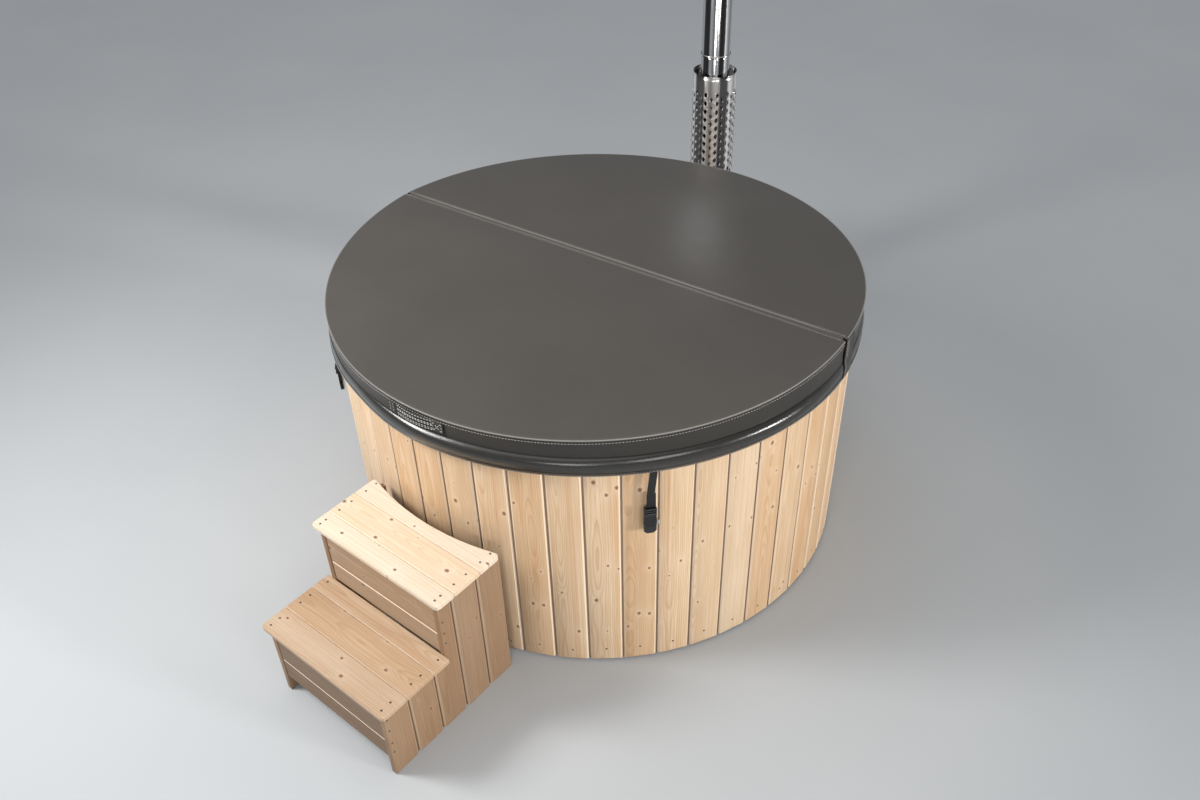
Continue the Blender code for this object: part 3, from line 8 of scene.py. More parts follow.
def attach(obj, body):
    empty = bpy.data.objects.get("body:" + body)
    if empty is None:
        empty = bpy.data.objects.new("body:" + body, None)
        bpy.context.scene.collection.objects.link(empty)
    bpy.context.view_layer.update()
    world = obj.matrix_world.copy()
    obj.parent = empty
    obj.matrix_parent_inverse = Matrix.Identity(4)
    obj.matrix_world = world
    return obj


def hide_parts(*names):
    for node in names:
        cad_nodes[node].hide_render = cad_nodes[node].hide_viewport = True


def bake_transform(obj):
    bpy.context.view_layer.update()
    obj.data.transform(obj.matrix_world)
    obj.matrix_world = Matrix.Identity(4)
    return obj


# Sizes of the solids, in metres
WALL_RADIUS = 0.900
STAVE_COUNT = 50
WALL_BOTTOM = 0.010
COVER_RADIUS = 0.920
COVER_BASE = 0.9203
RIDGE_Z = 1.012
COVER_TAPER = 0.028
COVER_CROWN = 0.005
CROWN_WIDTH = 0.220
COVER_DRAW_IN = 0.003
FOLD_Y = 0.043
FOLD_GAP = 0.0006
HEM_Z = 0.856
HEM_RADIUS = 0.9228
SLIT_WIDTH = 0.013
HANDLE_LENGTH = 0.210
STRAP_RADIUS = 0.9228
STRAP_Z = 0.8551
STRAP_ANGLE = 45.4
STRAP_LENGTH = 0.150
STRAP_LEAN = 0.010
STRAP_LEAN_LENGTH = 0.090
STEP_ORIGIN = (0.010, -0.917, 0.0)
STEP_TURN = radians(-4.0)
STEP_WIDTH = 0.566
STEP_BOARD = 0.1076
UPPER_TREAD_SEAM = -0.1927
LOWER_TREAD_SEAM = -0.4257
UPPER_TREAD_TOP = 0.556
LOWER_TREAD_TOP = 0.312
PANEL_SEAM_Y = -0.4080
PANEL_BOARD = 0.107
PANEL_FACE = 0.263
UPPER_RISER_SEAM = 0.3976
LOWER_RISER_SEAM = 0.1583
UPPER_RISER_BOARD = 0.1390
LOWER_RISER_BOARD = 0.1344
CHIMNEY = (-0.29886, 1.33701)
FLUE_RADIUS = 0.060
FLUE_WALL = 0.0015
FLUE_BASE = 0.5706
LOWER_PIPE_TOP = 1.2678
SOCKET_BASE = 1.2262
SOCKET_INSET = 0.0048
SOCKET_FIT = 0.0021
FLUE_TOP = 2.2680
GUARD_RADIUS = 0.0925
GUARD_BASE = 0.5756
GUARD_TOP = 1.2006

# Cover: jackets with their seams, skirts, and what is sewn on at the fold's ends; a bead is
# (radius, how deep it is sunk)
SHARP_ANGLE = 50.0
ARC_STEPS = 220
CHORD_STEPS = 150
TOP_RINGS = 18
EDGE_STEPS = 6
EDGE_ROUND = 0.007
FOOT_INSET = 0.002
NOTCH_DEPTH = 0.008
NOTCH_RUN = 0.016
SEAM_GROOVE = 0.0014
BROAD_SLACK = 0.0014
PUCKER_DEPTH = 0.0007
WELT_RADIUS = 0.0023
WELT_INSET = 0.0021
WELT_DROP = 0.0026
WELT_STEP = 0.008
WELT_TRIM = 0.012
SEAM_TRIM = 0.014
SEAM_DROP = 0.0125
FOLD_STEPS = 160
FOLD_SEAM = 0.0085
FOLD_STITCH = 0.0065
FOLD_DIP = 0.0030
FRONT_BEAD = (0.0024, 0.00042)
BACK_BEAD = (0.0034, 0.00046)
BEAD_FLATTEN = 0.22
THREAD_WIDTH = 0.0009
STITCH_PITCH = 0.0095
SKIRT_TOP_RADIUS = 0.9186
SKIRT_TOP_Z = 0.9228
SKIRT_BULGE = 0.0175
SKIRT_WAVE = 0.0020
SKIRT_STEPS = 26
SKIRT_COLUMNS = 300
HEM_STEPS = 5
HEM_TUCK = 0.009
FLAP_WIDTH = 0.064
FLAP_PROUD = 0.0016
FLAP_GAPE = 0.0035
# Dark strip behind each slit, as painted shade: its width and how far it hangs below the hem
SLIT_SHADE_WIDTH = 0.036
SLIT_SHADE_DROP = 0.008

# Handle and straps: a row of stitches is (share of the handle's height, thread), a lock bar is
# (down, proud, radius), and ribs and strap stitches are places down the strap
HANDLE_HEIGHT = 0.040
HANDLE_LOW = 0.9300
HANDLE_PROUD = 0.0026
HANDLE_BOW = 0.0045
HANDLE_SEWN = 0.035
HANDLE_ROWS = ((0.90, 0.0014), (0.62, 0.0016), (0.50, 0.0016), (0.24, 0.0013), (0.10, 0.0013))
HANDLE_GROOVES = (0.76, 0.37)
HANDLE_MARGIN = 0.004
# Half height of the dark strips of painted shade in the handle's grooves
SHADE_STRIP_HALF = 0.0024
STRAP_WIDTH = 0.0235
WEBBING_THICKNESS = 0.0016
TAIL_START = 0.088
TAIL_LENGTH = 0.046
LOCK_BARS = ((0.1400, 0.0084, 0.0034), (0.1495, 0.0080, 0.0024), (0.1590, 0.0078, 0.0036))
GRIP_RIBS = (0.196, 0.203, 0.210)
STRAP_STITCHES = (0.006, 0.012, 0.090, 0.096)

# Fasteners and the chimney's guard: side screws are (y, heights), a slot is its half width and height
NAIL_HEIGHT = 0.045
HOOK_ANGLE = 46.6
HOOK_Z = 0.634
SCREW_INSET = 0.026
SCREW_RECESS = 2.2
UPPER_SCREW_ROWS = (-0.247, -0.224, -0.169, -0.119, -0.058, -0.014)
LOWER_SCREW_ROWS = (-0.501, -0.466, -0.385, -0.346, -0.274)
SIDE_SCREWS = ((-0.4955, (0.105, 0.150, 0.210, 0.262)), (-0.2385, (0.360, 0.405, 0.455, 0.512)))
ROUND_STEPS = 72
GUARD_BAND = 0.0605
GUARD_COLUMNS = 24
GUARD_ROWS = 11
GUARD_ROW_PITCH = 0.037
GUARD_SLOT = (0.0098, 0.0134)
GUARD_LIP = 0.0033

# Wood: knots every so far across and along a board, and colours that its grain runs to; heartwood,
# latewood and fibre are shares of a board's honey colour; the runs of fibre, band, stain and heart are
# (fineness across, along, low and high end of the noise)
KNOT_SPACING = (0.038, 0.250)
RING_PITCH = 0.0058
# Bevel colour: fresh-cut wood, made lighter as a painted highlight
BEVEL_FRESH_CUT_AND_HIGHLIGHT = (0.880, 0.750, 0.590)
HEARTWOOD = (0.952, 0.721, 0.549)
LATEWOOD = (0.746, 0.616, 0.451)
FIBRE = (0.524, 0.395, 0.294)
GRAIN_RUNS = ((620.0, 9.0, 0.30, 0.72), (150.0, 1.2, 0.34, 0.68),
              (14.0, 2.6, 0.25, 0.75), (30.0, 0.8, 0.52, 0.72))
KNOT_BROWN = (0.080, 0.034, 0.016)
KNOT_RED = (0.420, 0.190, 0.085)
# Slot colour: dirt in the seams, made darker as painted shade
SLOT_DIRT_AND_SHADE = (0.190, 0.098, 0.046)

# Pale and honey colour of each kind of board; the upper tread's is made paler as painted light, the risers'
# and the step sides' darker as painted shade
WALL_WOOD = ((0.810, 0.670, 0.500), (0.630, 0.430, 0.255))
UPPER_TREAD_WOOD_PAINTED_LIGHT = ((0.780, 0.710, 0.610), (0.720, 0.600, 0.465))
LOWER_TREAD_WOOD = ((0.540, 0.430, 0.325), (0.455, 0.322, 0.210))
UPPER_RISER_WOOD_PAINTED_SHADE = ((0.490, 0.395, 0.300), (0.410, 0.294, 0.196))
LOWER_RISER_WOOD_PAINTED_SHADE = ((0.255, 0.180, 0.121), (0.215, 0.138, 0.080))
SIDE_WOOD_PAINTED_SHADE = ((0.330, 0.232, 0.151), (0.280, 0.174, 0.098))
TREATED_WOOD = ((0.42, 0.31, 0.17), (0.30, 0.20, 0.10))

# A seam's bevel and slot as places across a board, and how far each is drawn to its own colour: the bevel
# to fresh-cut wood lightened further as a painted highlight, the slot to dirt darkened further as painted
# shade
WALL_SEAM = (0.4248, 0.4690, 0.58, 0.70)
PANEL_SEAM = (0.4206, 0.4680, 0.20, 0.66)
TREAD_SEAM = (0.4720, 0.4930, 0.22, 0.42)
RISER_SEAM = (0.4784, 0.4960, 0.75, 0.40)
NO_SEAM = (0.6, 0.6, 0.0, 0.0)

# Finish and rounding of the other solids that stay
FINISHES = (
    ("treated", 0.0, ("base_bearer_left", "base_bearer_middle", "base_bearer_right", "base_deck")),
    ("core_film", 0.0, ("cover_front_core", "cover_back_core")),
    ("gelcoat", 0.0, ("liner_shell",)),
    ("sheet_steel", 0.0010, ("stove_casing", "stove_front", "ash_drawer")),
    ("sheet_steel", 0.0, ("flue_collar", "rain_cap", "stove_hinge_pin")),
    ("iron", 0.0010, ("stove_stand", "stove_door", "fire_grate")),
    ("brass", 0.0, ("drain_tailpipe", "drain_valve_body")),
    ("plastic", 0.0006, ("stove_latch_handle",)),
    ("plastic", 0.0008, ("drain_valve_handle",)),
)

# Camera and light
CAMERA_PLACE = (1.83742, -2.53542, 2.8649)
CAMERA_HEADING = radians(35.833)
CAMERA_PITCH = radians(38.106)
CAMERA_ROLL = -0.0295
CAMERA_LENS = 31.342
SENSOR_WIDTH = 36.0
SKY_COLOUR = (0.90, 0.95, 1.0, 1.0)
SKY_STRENGTH = 0.27
WARM = (1.0, 0.98, 0.95)
WHITE = (1.0, 1.0, 1.0)
FLOOR_HALF = 60.0
FLOOR_Z = -0.0006

SCENE = bpy.context.scene
UP = Vector((0.0, 0.0, 1.0))
FRONT = -pi / 2
MATERIALS = {}


# Shader trees

class Value:
    """An output of a node; arithmetic with it adds Math nodes to its tree."""

    def __init__(self, tree, socket):
        self.tree = tree
        self.socket = socket

    def __add__(self, other):
        return self.tree.math("ADD", self, other)

    def __sub__(self, other):
        return self.tree.math("SUBTRACT", self, other)

    def __mul__(self, other):
        return self.tree.math("MULTIPLY", self, other)

    def __truediv__(self, other):
        return self.tree.math("DIVIDE", self, other)


class Tree:
    """A material under construction, with short calls for its nodes."""

    def __init__(self, name, slot):
        self.material = bpy.data.materials.new(name)
        self.material.use_nodes = True
        self.nodes = self.material.node_tree.nodes
        self.links = self.material.node_tree.links
        self.shader = self.nodes["Principled BSDF"]

    def put(self, socket, value):
        if isinstance(value, Value):
            self.links.new(value.socket, socket)
        elif socket.type == "RGBA":
            socket.default_value = (*value, 1.0)
        else:
            socket.default_value = value

    def node(self, kind, inputs=(), **settings):
        node = self.nodes.new("ShaderNode" + kind)
        for key, value in settings.items():
            setattr(node, key, value)
        for key, value in inputs:
            self.put(node.inputs[key], value)
        return node

    def add(self, kind, inputs=(), output=0, **settings):
        return Value(self, self.node(kind, inputs, **settings).outputs[output])

    def math(self, operation, *values):
        return self.add("Math", enumerate(values), operation=operation)

    def place(self):
        return self.add("TexCoord", output="Object")

    def split(self, vector):
        node = self.node("SeparateXYZ", (("Vector", vector),))
        return [Value(self, socket) for socket in node.outputs]

    def join(self, x, y, z=0.0):
        return self.add("CombineXYZ", enumerate((x, y, z)))

    def noise(self, vector, scale, detail=3.0, roughness=0.5):
        inputs = (("Vector", vector), ("Scale", scale), ("Detail", detail), ("Roughness", roughness))
        return self.add("TexNoise", inputs, "Fac")

    def speck(self, *settings):
        return self.noise(self.place(), *settings)

    def ramp(self, factor, stops):
        node = self.node("ValToRGB", (("Fac", factor),))
        points = node.color_ramp.elements
        while len(points) < len(stops):
            points.new(1.0)
        for point, (position, colour) in zip(points, stops):
            point.position = position
            point.color = (*colour, 1.0) if isinstance(colour, tuple) else (colour, colour, colour, 1.0)
        return Value(self, node.outputs["Color"])

    def mix(self, factor, first, second, blend="MIX"):
        inputs = ((0, factor), (6, first), (7, second))
        return self.add("Mix", inputs, 2, data_type="RGBA", blend_type=blend)

    def span(self, value, low, high):
        return self.add("MapRange", (("Value", value), ("To Min", low), ("To Max", high)))

    def bump(self, height, distance, strength, normal=None):
        inputs = [("Height", height), ("Distance", distance), ("Strength", strength)]
        if normal is not None:
            inputs.append(("Normal", normal))
        return self.add("Bump", inputs)

    def finish(self, colour, roughness, normal=None, **constants):
        self.put(self.shader.inputs["Base Color"], colour)
        self.put(self.shader.inputs["Roughness"], roughness)
        if normal is not None:
            self.put(self.shader.inputs["Normal"], normal)
        for key, value in constants.items():
            self.shader.inputs[key.replace("_", " ")].default_value = value
        return self.material


# Wood

def wall_grid(tree):
    """Board number, place across, height, depth and nearness to a seam, round the tub's wall."""
    x, y, z = tree.split(tree.place())
    turn = tree.math("ARCTAN2", y, x)
    boards = turn * (STAVE_COUNT / tau) + (STAVE_COUNT / 4 + 0.5)
    offset = tree.math("FRACT", boards) - 0.5
    across = offset * (tau * WALL_RADIUS / STAVE_COUNT)
    return tree.math("FLOOR", boards), across, z, x * 0.2, tree.math("ABSOLUTE", offset)


def step_grid(across_axis, along_axis, seam_at, pitch, count, number_axis=None):
    """The same for boards of the step, in the step's own turned frame; one seam lies at seam_at."""
    def grid(tree):
        inputs = (("Vector", tree.place()), ("Location", STEP_ORIGIN), ("Rotation", (0.0, 0.0, STEP_TURN)))
        local = tree.split(tree.add("Mapping", inputs, vector_type="TEXTURE"))
        boards = (local[across_axis] - (seam_at - pitch)) / pitch
        number = tree.math("FLOOR", boards)
        offset = tree.math("FRACT", boards) - 0.5
        if number_axis is not None:
            number = tree.math("GREATER_THAN", local[number_axis], 0.0) * 17.0 + number
        third = local[3 - across_axis - along_axis]
        from_middle = tree.math("ABSOLUTE", boards - count / 2)
        inside = tree.math("LESS_THAN", from_middle, count / 2 - 0.25)
        return number, offset * pitch, local[along_axis], third, tree.math("ABSOLUTE", offset) * inside
    return grid


def whorls(tree, key, across, along):
    """Small knots in loose rows: how far the nearest one is, and whether it is there at all."""
    wide, tall = KNOT_SPACING
    place = tree.join(across * (1 / wide) + key * 11.3, along / tall)
    inputs = (("Vector", place), ("Scale", 1.0), ("Randomness", 0.8))
    cells = tree.node("TexVoronoi", inputs, voronoi_dimensions="2D").outputs
    here = tree.split(place)
    knot = tree.split(Value(tree, cells["Position"]))
    chance = tree.split(Value(tree, cells["Color"]))
    off_x = (here[0] - knot[0]) * wide
    off_y = (here[1] - knot[1]) * (tall * 0.75)
    distance = tree.math("SQRT", off_x * off_x + off_y * off_y)
    return distance / tree.span(chance[1], 0.26, 0.98), tree.math("GREATER_THAN", chance[0], 0.56)


def growth_rings(tree, key, chance, across, along, deep, pull, pitch):
    """Rings of a log cut along its length: wavering lines and long arches, bent round the knots."""
    drift = tree.noise(tree.join(key, along * 1.5), 1.0, 2.0)
    depth = drift * 0.085 + (chance[1] * 0.050 - 0.040)
    sway = tree.noise(tree.join(along * 2.1, key), 1.0, 2.0)
    centre = chance[0] * 0.090 - 0.060
    aside = sway * 0.030 + across - centre
    radius = tree.math("SQRT", aside * aside + depth * depth) + deep * 0.6
    radius = pull * 0.014 + radius
    stretched = tree.join(across * 55.0, along * 5.0, key)
    ragged = tree.noise(stretched, 1.0, 4.0, 0.6) * 0.55
    width = tree.span(chance[2], pitch * 0.75, pitch * 1.35)
    ring = tree.math("FRACT", ragged + radius / width)
    return tree.ramp(ring, ((0.0, 0.06), (0.42, 0.02), (0.80, 0.62), (0.92, 1.0), (1.0, 0.10)))


def streaks(tree, key, across, along, fine, long, low, high):
    """Noise drawn out along the board, stretched to run from 0 to 1."""
    place = tree.join(across * fine, along * long, key)
    return tree.ramp(tree.noise(place, 1.0, 3.0, 0.55), ((low, 0.0), (high, 1.0)))


def tinted(colour, share):
    return tuple(c * s for c, s in zip(colour, share))


def draw_knots(tree, colour, reach, there):
    """Red rims and dark cores of the knots, and where the cores are."""
    size = reach * 100.0
    rim = tree.ramp(size, ((0.0, 1.0), (0.66, 1.0), (0.98, 0.0))) * there
    core = tree.ramp(size, ((0.0, 1.0), (0.30, 0.72), (0.46, 1.0), (0.60, 0.0))) * there
    colour = tree.mix(rim * 0.55, colour, KNOT_RED)
    return tree.mix(core * 0.86, colour, KNOT_BROWN), core


def draw_seam(tree, colour, edge, seam):
    bevel, slot_edge, shine, shade = seam
    # Bevels drawn to a lighter colour as a painted highlight on fresh-cut wood; slots drawn to a dark
    # colour as dirt and painted shade
    colour = tree.mix(tree.math("GREATER_THAN", edge, bevel) * shine, colour, BEVEL_FRESH_CUT_AND_HIGHLIGHT)
    return tree.mix(tree.math("GREATER_THAN", edge, slot_edge) * shade, colour, SLOT_DIRT_AND_SHADE)


def wood(name, grid, seed, palette, seam, pitch=RING_PITCH, slot="spruce"):
    """Planed softwood boards with knots, grain and bevelled seams; the bevels carry a painted highlight and
    the slots dirt and painted shade.
    """
    tree = Tree(name, slot)
    pale, honey = palette
    number, across, along, deep, edge = grid(tree)
    key = number + seed
    chance = tree.split(tree.add("TexWhiteNoise", (("W", key),), "Color", noise_dimensions="1D"))
    along = chance[2] * 7.3 + along
    key_far = key * 3.17
    reach, there = whorls(tree, key, across, along)
    pull = tree.math("EXPONENT", reach * -66.0) * there
    late = growth_rings(tree, key_far, chance, across, along, deep, pull, pitch)
    fibre, band, stain, heart = (streaks(tree, key_far, across, along, *run) for run in GRAIN_RUNS)

    colour = tree.mix(stain * 0.45 + (chance[1] * 0.85 - 0.22), pale, honey)
    rosy = tree.mix(chance[0], WHITE, (1.0, 0.925, 0.85))
    colour = tree.mix(1.0, colour, rosy, "MULTIPLY")
    grain = ((heart * tree.span(chance[0], 0.04, 0.66), HEARTWOOD),
             (late * tree.span(stain, 0.30, 0.66), LATEWOOD),
             (tree.span(band, 0.34, 0.0), LATEWOOD), (tree.span(fibre, 0.0, 0.20), FIBRE))
    for strength, share in grain:
        colour = tree.mix(strength, colour, tinted(honey, share))
    colour = tree.mix(pull * 0.50, colour, pale)
    colour, core = draw_knots(tree, colour, reach, there)
    colour = draw_seam(tree, colour, edge, seam)
    relief = core * 0.6 + (late * 0.45 + fibre * 0.55)
    return tree.finish(colour, tree.span(fibre, 0.44, 0.62), tree.bump(relief, 0.0009, 0.5))


# Other materials

def vinyl(name, colour, roughness, specular, upright=1.0):
    """Embossed vinyl; upright is how dark its upright faces are beside its level ones, a painted shade by
    which way each face points.
    """
    tree = Tree(name, "vinyl")
    place = tree.place()
    inputs = (("Vector", place), ("Scale", 620.0))
    cells = tree.add("TexVoronoi", inputs, "Distance", feature="SMOOTH_F1")
    fine = tree.noise(place, 1500.0, 2.0)
    broad = tree.noise(place, 3.2, 4.0, 0.55)
    worn = tree.noise(place, 38.0, 5.0, 0.6)
    shade = tree.mix(broad, tinted(colour, [0.86] * 3), tinted(colour, [1.12] * 3))
    shade = tree.mix(tree.span(worn, 0.0, 0.06), shade, (0.150, 0.140, 0.130))
    # Painted shade: faces that stand upright are darkened beside level ones
    facing = tree.split(tree.add("NewGeometry", output="Normal"))[2]
    inputs = (("Value", facing), ("From Min", 0.10), ("From Max", 0.70), ("To Min", upright))
    shade = tree.mix(1.0, shade, tree.add("MapRange", inputs), "MULTIPLY")
    gloss = worn * 0.14 + tree.span(broad, roughness - 0.10, roughness)
    normal = tree.bump(fine * 0.35 + cells, 0.00022, 0.55)
    normal = tree.bump(tree.noise(place, 9.0, 3.0), 0.0035, 0.35, normal)
    return tree.finish(shade, gloss, normal, Specular_IOR_Level=specular)


def webbing():
    """Ribbed narrow weave: the crossing of two fine waves, with a faint pale fuzz."""
    tree = Tree("strap_webbing", "webbing")
    x, y, z = tree.split(tree.place())
    warp = tree.math("SINE", tree.math("ARCTAN2", y, x) * 2600.0)
    weft = tree.math("SINE", z * 3400.0)
    weave = warp * weft * 0.5 + 0.5
    fuzz = tree.speck(700.0, 3.0)
    colour = tree.mix(weave, (0.005, 0.005, 0.006), (0.020, 0.020, 0.020))
    colour = tree.mix(tree.span(fuzz, 0.0, 0.30), colour, (0.040, 0.039, 0.038))
    normal = tree.bump(weave, 0.0004, 0.6)
    return tree.finish(colour, tree.span(weave, 0.72, 0.52), normal, Specular_IOR_Level=0.30)


def steel_with_painted_reflection(name, dark, light, roughness, metallic=1.0):
    """Polished tube with a painted reflection: a few broad dark and light bands run down it in its colour,
    with sharp edges, as a mirror finish shows a room.
    """
    tree = Tree(name, "stainless_steel")
    x, y, z = tree.split(tree.place())
    turn = tree.math("ARCTAN2", y - CHIMNEY[1], x - CHIMNEY[0])
    round_way = tree.join(tree.math("COSINE", turn), tree.math("SINE", turn), z * 0.10)
    wander = tree.noise(round_way, 1.3, 2.0) * 2.6
    # Painted reflection: bands of dark and light round the tube
    bands = tree.math("SINE", turn * 5.0 + wander)
    fine = tree.noise(tree.join(turn * 34.0, z * 0.8), 1.0, 3.0)
    smear = tree.speck(16.0, 4.0, 0.6)
    grey = tuple(0.5 * (a + b) for a, b in zip(dark, light))
    stops = ((0.0, dark), (0.26, dark), (0.40, grey), (0.58, light), (0.86, light), (1.0, grey))
    shade = tree.ramp(bands * 0.5 + 0.5, stops)
    colour = tree.mix(tree.span(fine, 0.0, 0.22), shade, (0.330, 0.315, 0.310))
    return tree.finish(colour, smear * 0.08 + roughness, tree.bump(fine, 0.0002, 0.2), Metallic=metallic)


def cloudy(name, slot, dark, light, gloss, clouds, grain=None, relief=0.0, metallic=0.0):
    """Clouds of two colours and roughnesses, with a grain in relief where one is given."""
    tree = Tree(name, slot)
    cloud = tree.speck(*clouds)
    normal = tree.bump(tree.speck(*grain), relief, 0.4) if grain else None
    return tree.finish(tree.mix(cloud, dark, light), tree.span(cloud, *gloss), normal, Metallic=metallic)


def metal(name, slot, dark, light, roughness, metallic, scale=60.0, relief=0.0002):
    """A metal, or rubber where metallic is 0."""
    gloss = (roughness, roughness + 0.18)
    clouds = (scale * 0.18, 5.0, 0.6)
    return cloudy(name, slot, dark, light, gloss, clouds, (scale * 12.0,), relief, metallic)


def gelcoat():
    tree = Tree("liner_gelcoat_marbled", "liner_gelcoat")
    swirl = tree.speck(5.0, 6.0, 0.62)
    fleck = tree.speck(240.0, 2.0)
    colour = tree.mix(swirl, (0.460, 0.540, 0.580), (0.600, 0.665, 0.690))
    colour = tree.mix(tree.span(fleck, 0.0, 0.12), colour, (0.850, 0.870, 0.880))
    return tree.finish(colour, tree.span(swirl, 0.14, 0.24), tree.bump(fleck, 0.0001, 0.2), Coat_Weight=0.3)


def make_step_wood():
    # Step boards: the upper tread's palette carries painted light, the risers' painted shade
    boards = (
        ("upper_tread", 1, UPPER_TREAD_SEAM, STEP_BOARD, 3, 61.0, UPPER_TREAD_WOOD_PAINTED_LIGHT, TREAD_SEAM),
        ("lower_tread", 1, LOWER_TREAD_SEAM, STEP_BOARD, 3, 83.0, LOWER_TREAD_WOOD, TREAD_SEAM),
        ("upper_riser", 2, UPPER_RISER_SEAM, UPPER_RISER_BOARD, 2, 101.0, UPPER_RISER_WOOD_PAINTED_SHADE, RISER_SEAM),
        ("lower_riser", 2, LOWER_RISER_SEAM, LOWER_RISER_BOARD, 2, 127.0, LOWER_RISER_WOOD_PAINTED_SHADE, RISER_SEAM),
    )
    for name, across, seam_at, board, count, seed, palette, seam in boards:
        grid = step_grid(across, 0, seam_at, board, count)
        MATERIALS[name] = wood(name + "_spruce", grid, seed, palette, seam)
    # The step sides' palette carries painted shade
    side_grid = step_grid(1, 2, PANEL_SEAM_Y, PANEL_BOARD, 5, 0)
    MATERIALS["step_side"] = wood("step_side_spruce_painted_shade", side_grid, 149.0, SIDE_WOOD_PAINTED_SHADE, PANEL_SEAM)


def make_materials():
    make_step_wood()
    bearer_grid = step_grid(1, 0, 0.465, 0.5, 1)
    steel = "stainless_steel"
    MATERIALS.update({
        "wall": wood("wall_spruce", wall_grid, 3.0, WALL_WOOD, WALL_SEAM),
        "treated": wood("bearer_pine", bearer_grid, 171.0, TREATED_WOOD, NO_SEAM, 0.007, "treated_wood"),
        # Cover vinyl with painted shade on its upright faces, at half the brightness of its level ones
        "vinyl": vinyl("cover_vinyl_painted_shade", (0.078, 0.072, 0.066), 0.32, 0.20, 0.50),
        "gloss_vinyl": vinyl("skirt_vinyl", (0.020, 0.019, 0.018), 0.20, 0.55),
        # Welt vinyl made lighter than the cover's as a painted highlight on the rolled edges
        "welt": vinyl("welt_vinyl_painted_highlight", (0.230, 0.220, 0.205), 0.30, 0.20),
        "thread": cloudy("seam_thread", "webbing", (0.300, 0.290, 0.270), (0.560, 0.545, 0.520),
                         (0.45, 0.65), (900.0, 2.0)),
        "webbing": webbing(),
        "plastic": cloudy("moulded_plastic", "black_plastic", (0.003, 0.003, 0.004), (0.012, 0.012, 0.013),
                          (0.10, 0.26), (90.0, 5.0, 0.7), (1300.0,), 0.0001),
        # Chimney and guard steel with a painted reflection in their colour
        "tube": steel_with_painted_reflection("chimney_steel_painted_reflection", (0.045, 0.043, 0.045), (0.97, 0.96, 0.96), 0.07),
        "guard": steel_with_painted_reflection("guard_steel_painted_reflection", (0.070, 0.066, 0.066), (0.97, 0.95, 0.94), 0.12, 0.72),
        "sheet_steel": metal("stove_steel", steel, (0.42, 0.41, 0.40), (0.58, 0.57, 0.56), 0.26, 1.0),
        "iron": metal("stove_iron", "black_iron", (0.018, 0.018, 0.019), (0.036, 0.035, 0.034),
                      0.52, 0.35, 60.0, 0.0006),
        "brass": metal("valve_metal", "valve_brass", (0.55, 0.40, 0.17), (0.68, 0.52, 0.25), 0.26, 1.0),
        "rubber": metal("pipe_rubber", "hose_rubber", (0.020, 0.020, 0.021), (0.035, 0.035, 0.036),
                        0.60, 0.0, 40.0, 0.0003),
        "nail": metal("nail_steel", steel, (0.028, 0.024, 0.020), (0.060, 0.050, 0.040), 0.45, 1.0, 300.0),
        "screw": metal("screw_steel", steel, (0.62, 0.54, 0.52), (0.80, 0.74, 0.72), 0.18, 1.0, 300.0),
        "gelcoat": gelcoat(),
        "core_film": cloudy("core_film", "foam", (0.006, 0.006, 0.007), (0.016, 0.016, 0.017),
                            (0.30, 0.50), (22.0, 5.0, 0.65), (22.0, 5.0, 0.65), 0.0020),
        "floor": cloudy("studio_floor", None, (0.400, 0.420, 0.440), (0.455, 0.474, 0.490),
                        (0.70, 0.82), (0.9, 4.0)),
    })


# Meshes

def add_piece(name, shape, finish, body, smooth=True):
    verts, faces = shape
    mesh = bpy.data.meshes.new(name)
    mesh.from_pydata([tuple(v) for v in verts], [], faces)
    mesh.update()
    if smooth:
        mesh.shade_smooth()
        mesh.set_sharp_from_angle(angle=radians(SHARP_ANGLE))
    material = MATERIALS[finish]
    mesh.materials.append(material)
    piece = bpy.data.objects.new(name, mesh)
    SCENE.collection.objects.link(piece)
    if body is not None:
        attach(piece, body)
    return piece


def spread(start, end, count):
    """Evenly spaced values from start to end, in a count of steps."""
    return [start + (end - start) * i / count for i in range(count + 1)]


def polar(radius, angle, z):
    return Vector((radius * cos(angle), radius * sin(angle), z))


def outward(angle):
    return polar(1.0, angle, 0.0)


def from_axis(point):
    return Vector((point.x, point.y, 0.0))


def sideways(ahead):
    """A unit direction square to the way ahead, level unless that runs upright."""
    across = ahead.cross(UP)
    if across.length < 0.1:
        across = ahead.cross(Vector((1.0, 0.0, 0.0)))
    return across.normalized()


def loft(rings, wrap=False):
    """Faces between closed rings of points; without wrap the first and last are capped."""
    count = len(rings[0])
    verts = [point for ring in rings for point in ring]
    pairs = len(rings) if wrap else len(rings) - 1
    faces = []
    for row in range(pairs):
        following = (row + 1) % len(rings)
        for i in range(count):
            j = (i + 1) % count
            faces.append((row * count + i, row * count + j, following * count + j, following * count + i))
    if not wrap:
        faces.append(tuple(reversed(range(count))))
        faces.append(tuple(range((len(rings) - 1) * count, len(rings) * count)))
    return verts, faces


def sheet_mesh(rows, normals, thickness):
    """A closed thin sheet: the rows of points are its outer face."""
    high = len(rows)
    wide = len(rows[0])
    outer = [point for row in rows for point in row]
    sides = [normal for line in normals for normal in line]
    inner = [point - normal * thickness for point, normal in zip(outer, sides)]
    back = high * wide
    faces = []
    for r in range(high - 1):
        for c in range(wide - 1):
            a, b = r * wide + c, r * wide + c + 1
            d, e = a + wide, b + wide
            faces.append((a, b, e, d))
            faces.append((back + d, back + e, back + b, back + a))
    edge = list(range(wide))
    edge += [r * wide + wide - 1 for r in range(1, high)]
    edge += [(high - 1) * wide + c for c in range(wide - 2, -1, -1)]
    edge += [r * wide for r in range(high - 2, 0, -1)]
    for i, j in zip(edge, edge[1:] + edge[:1]):
        faces.append((j, i, back + i, back + j))
    return outer + inner, faces


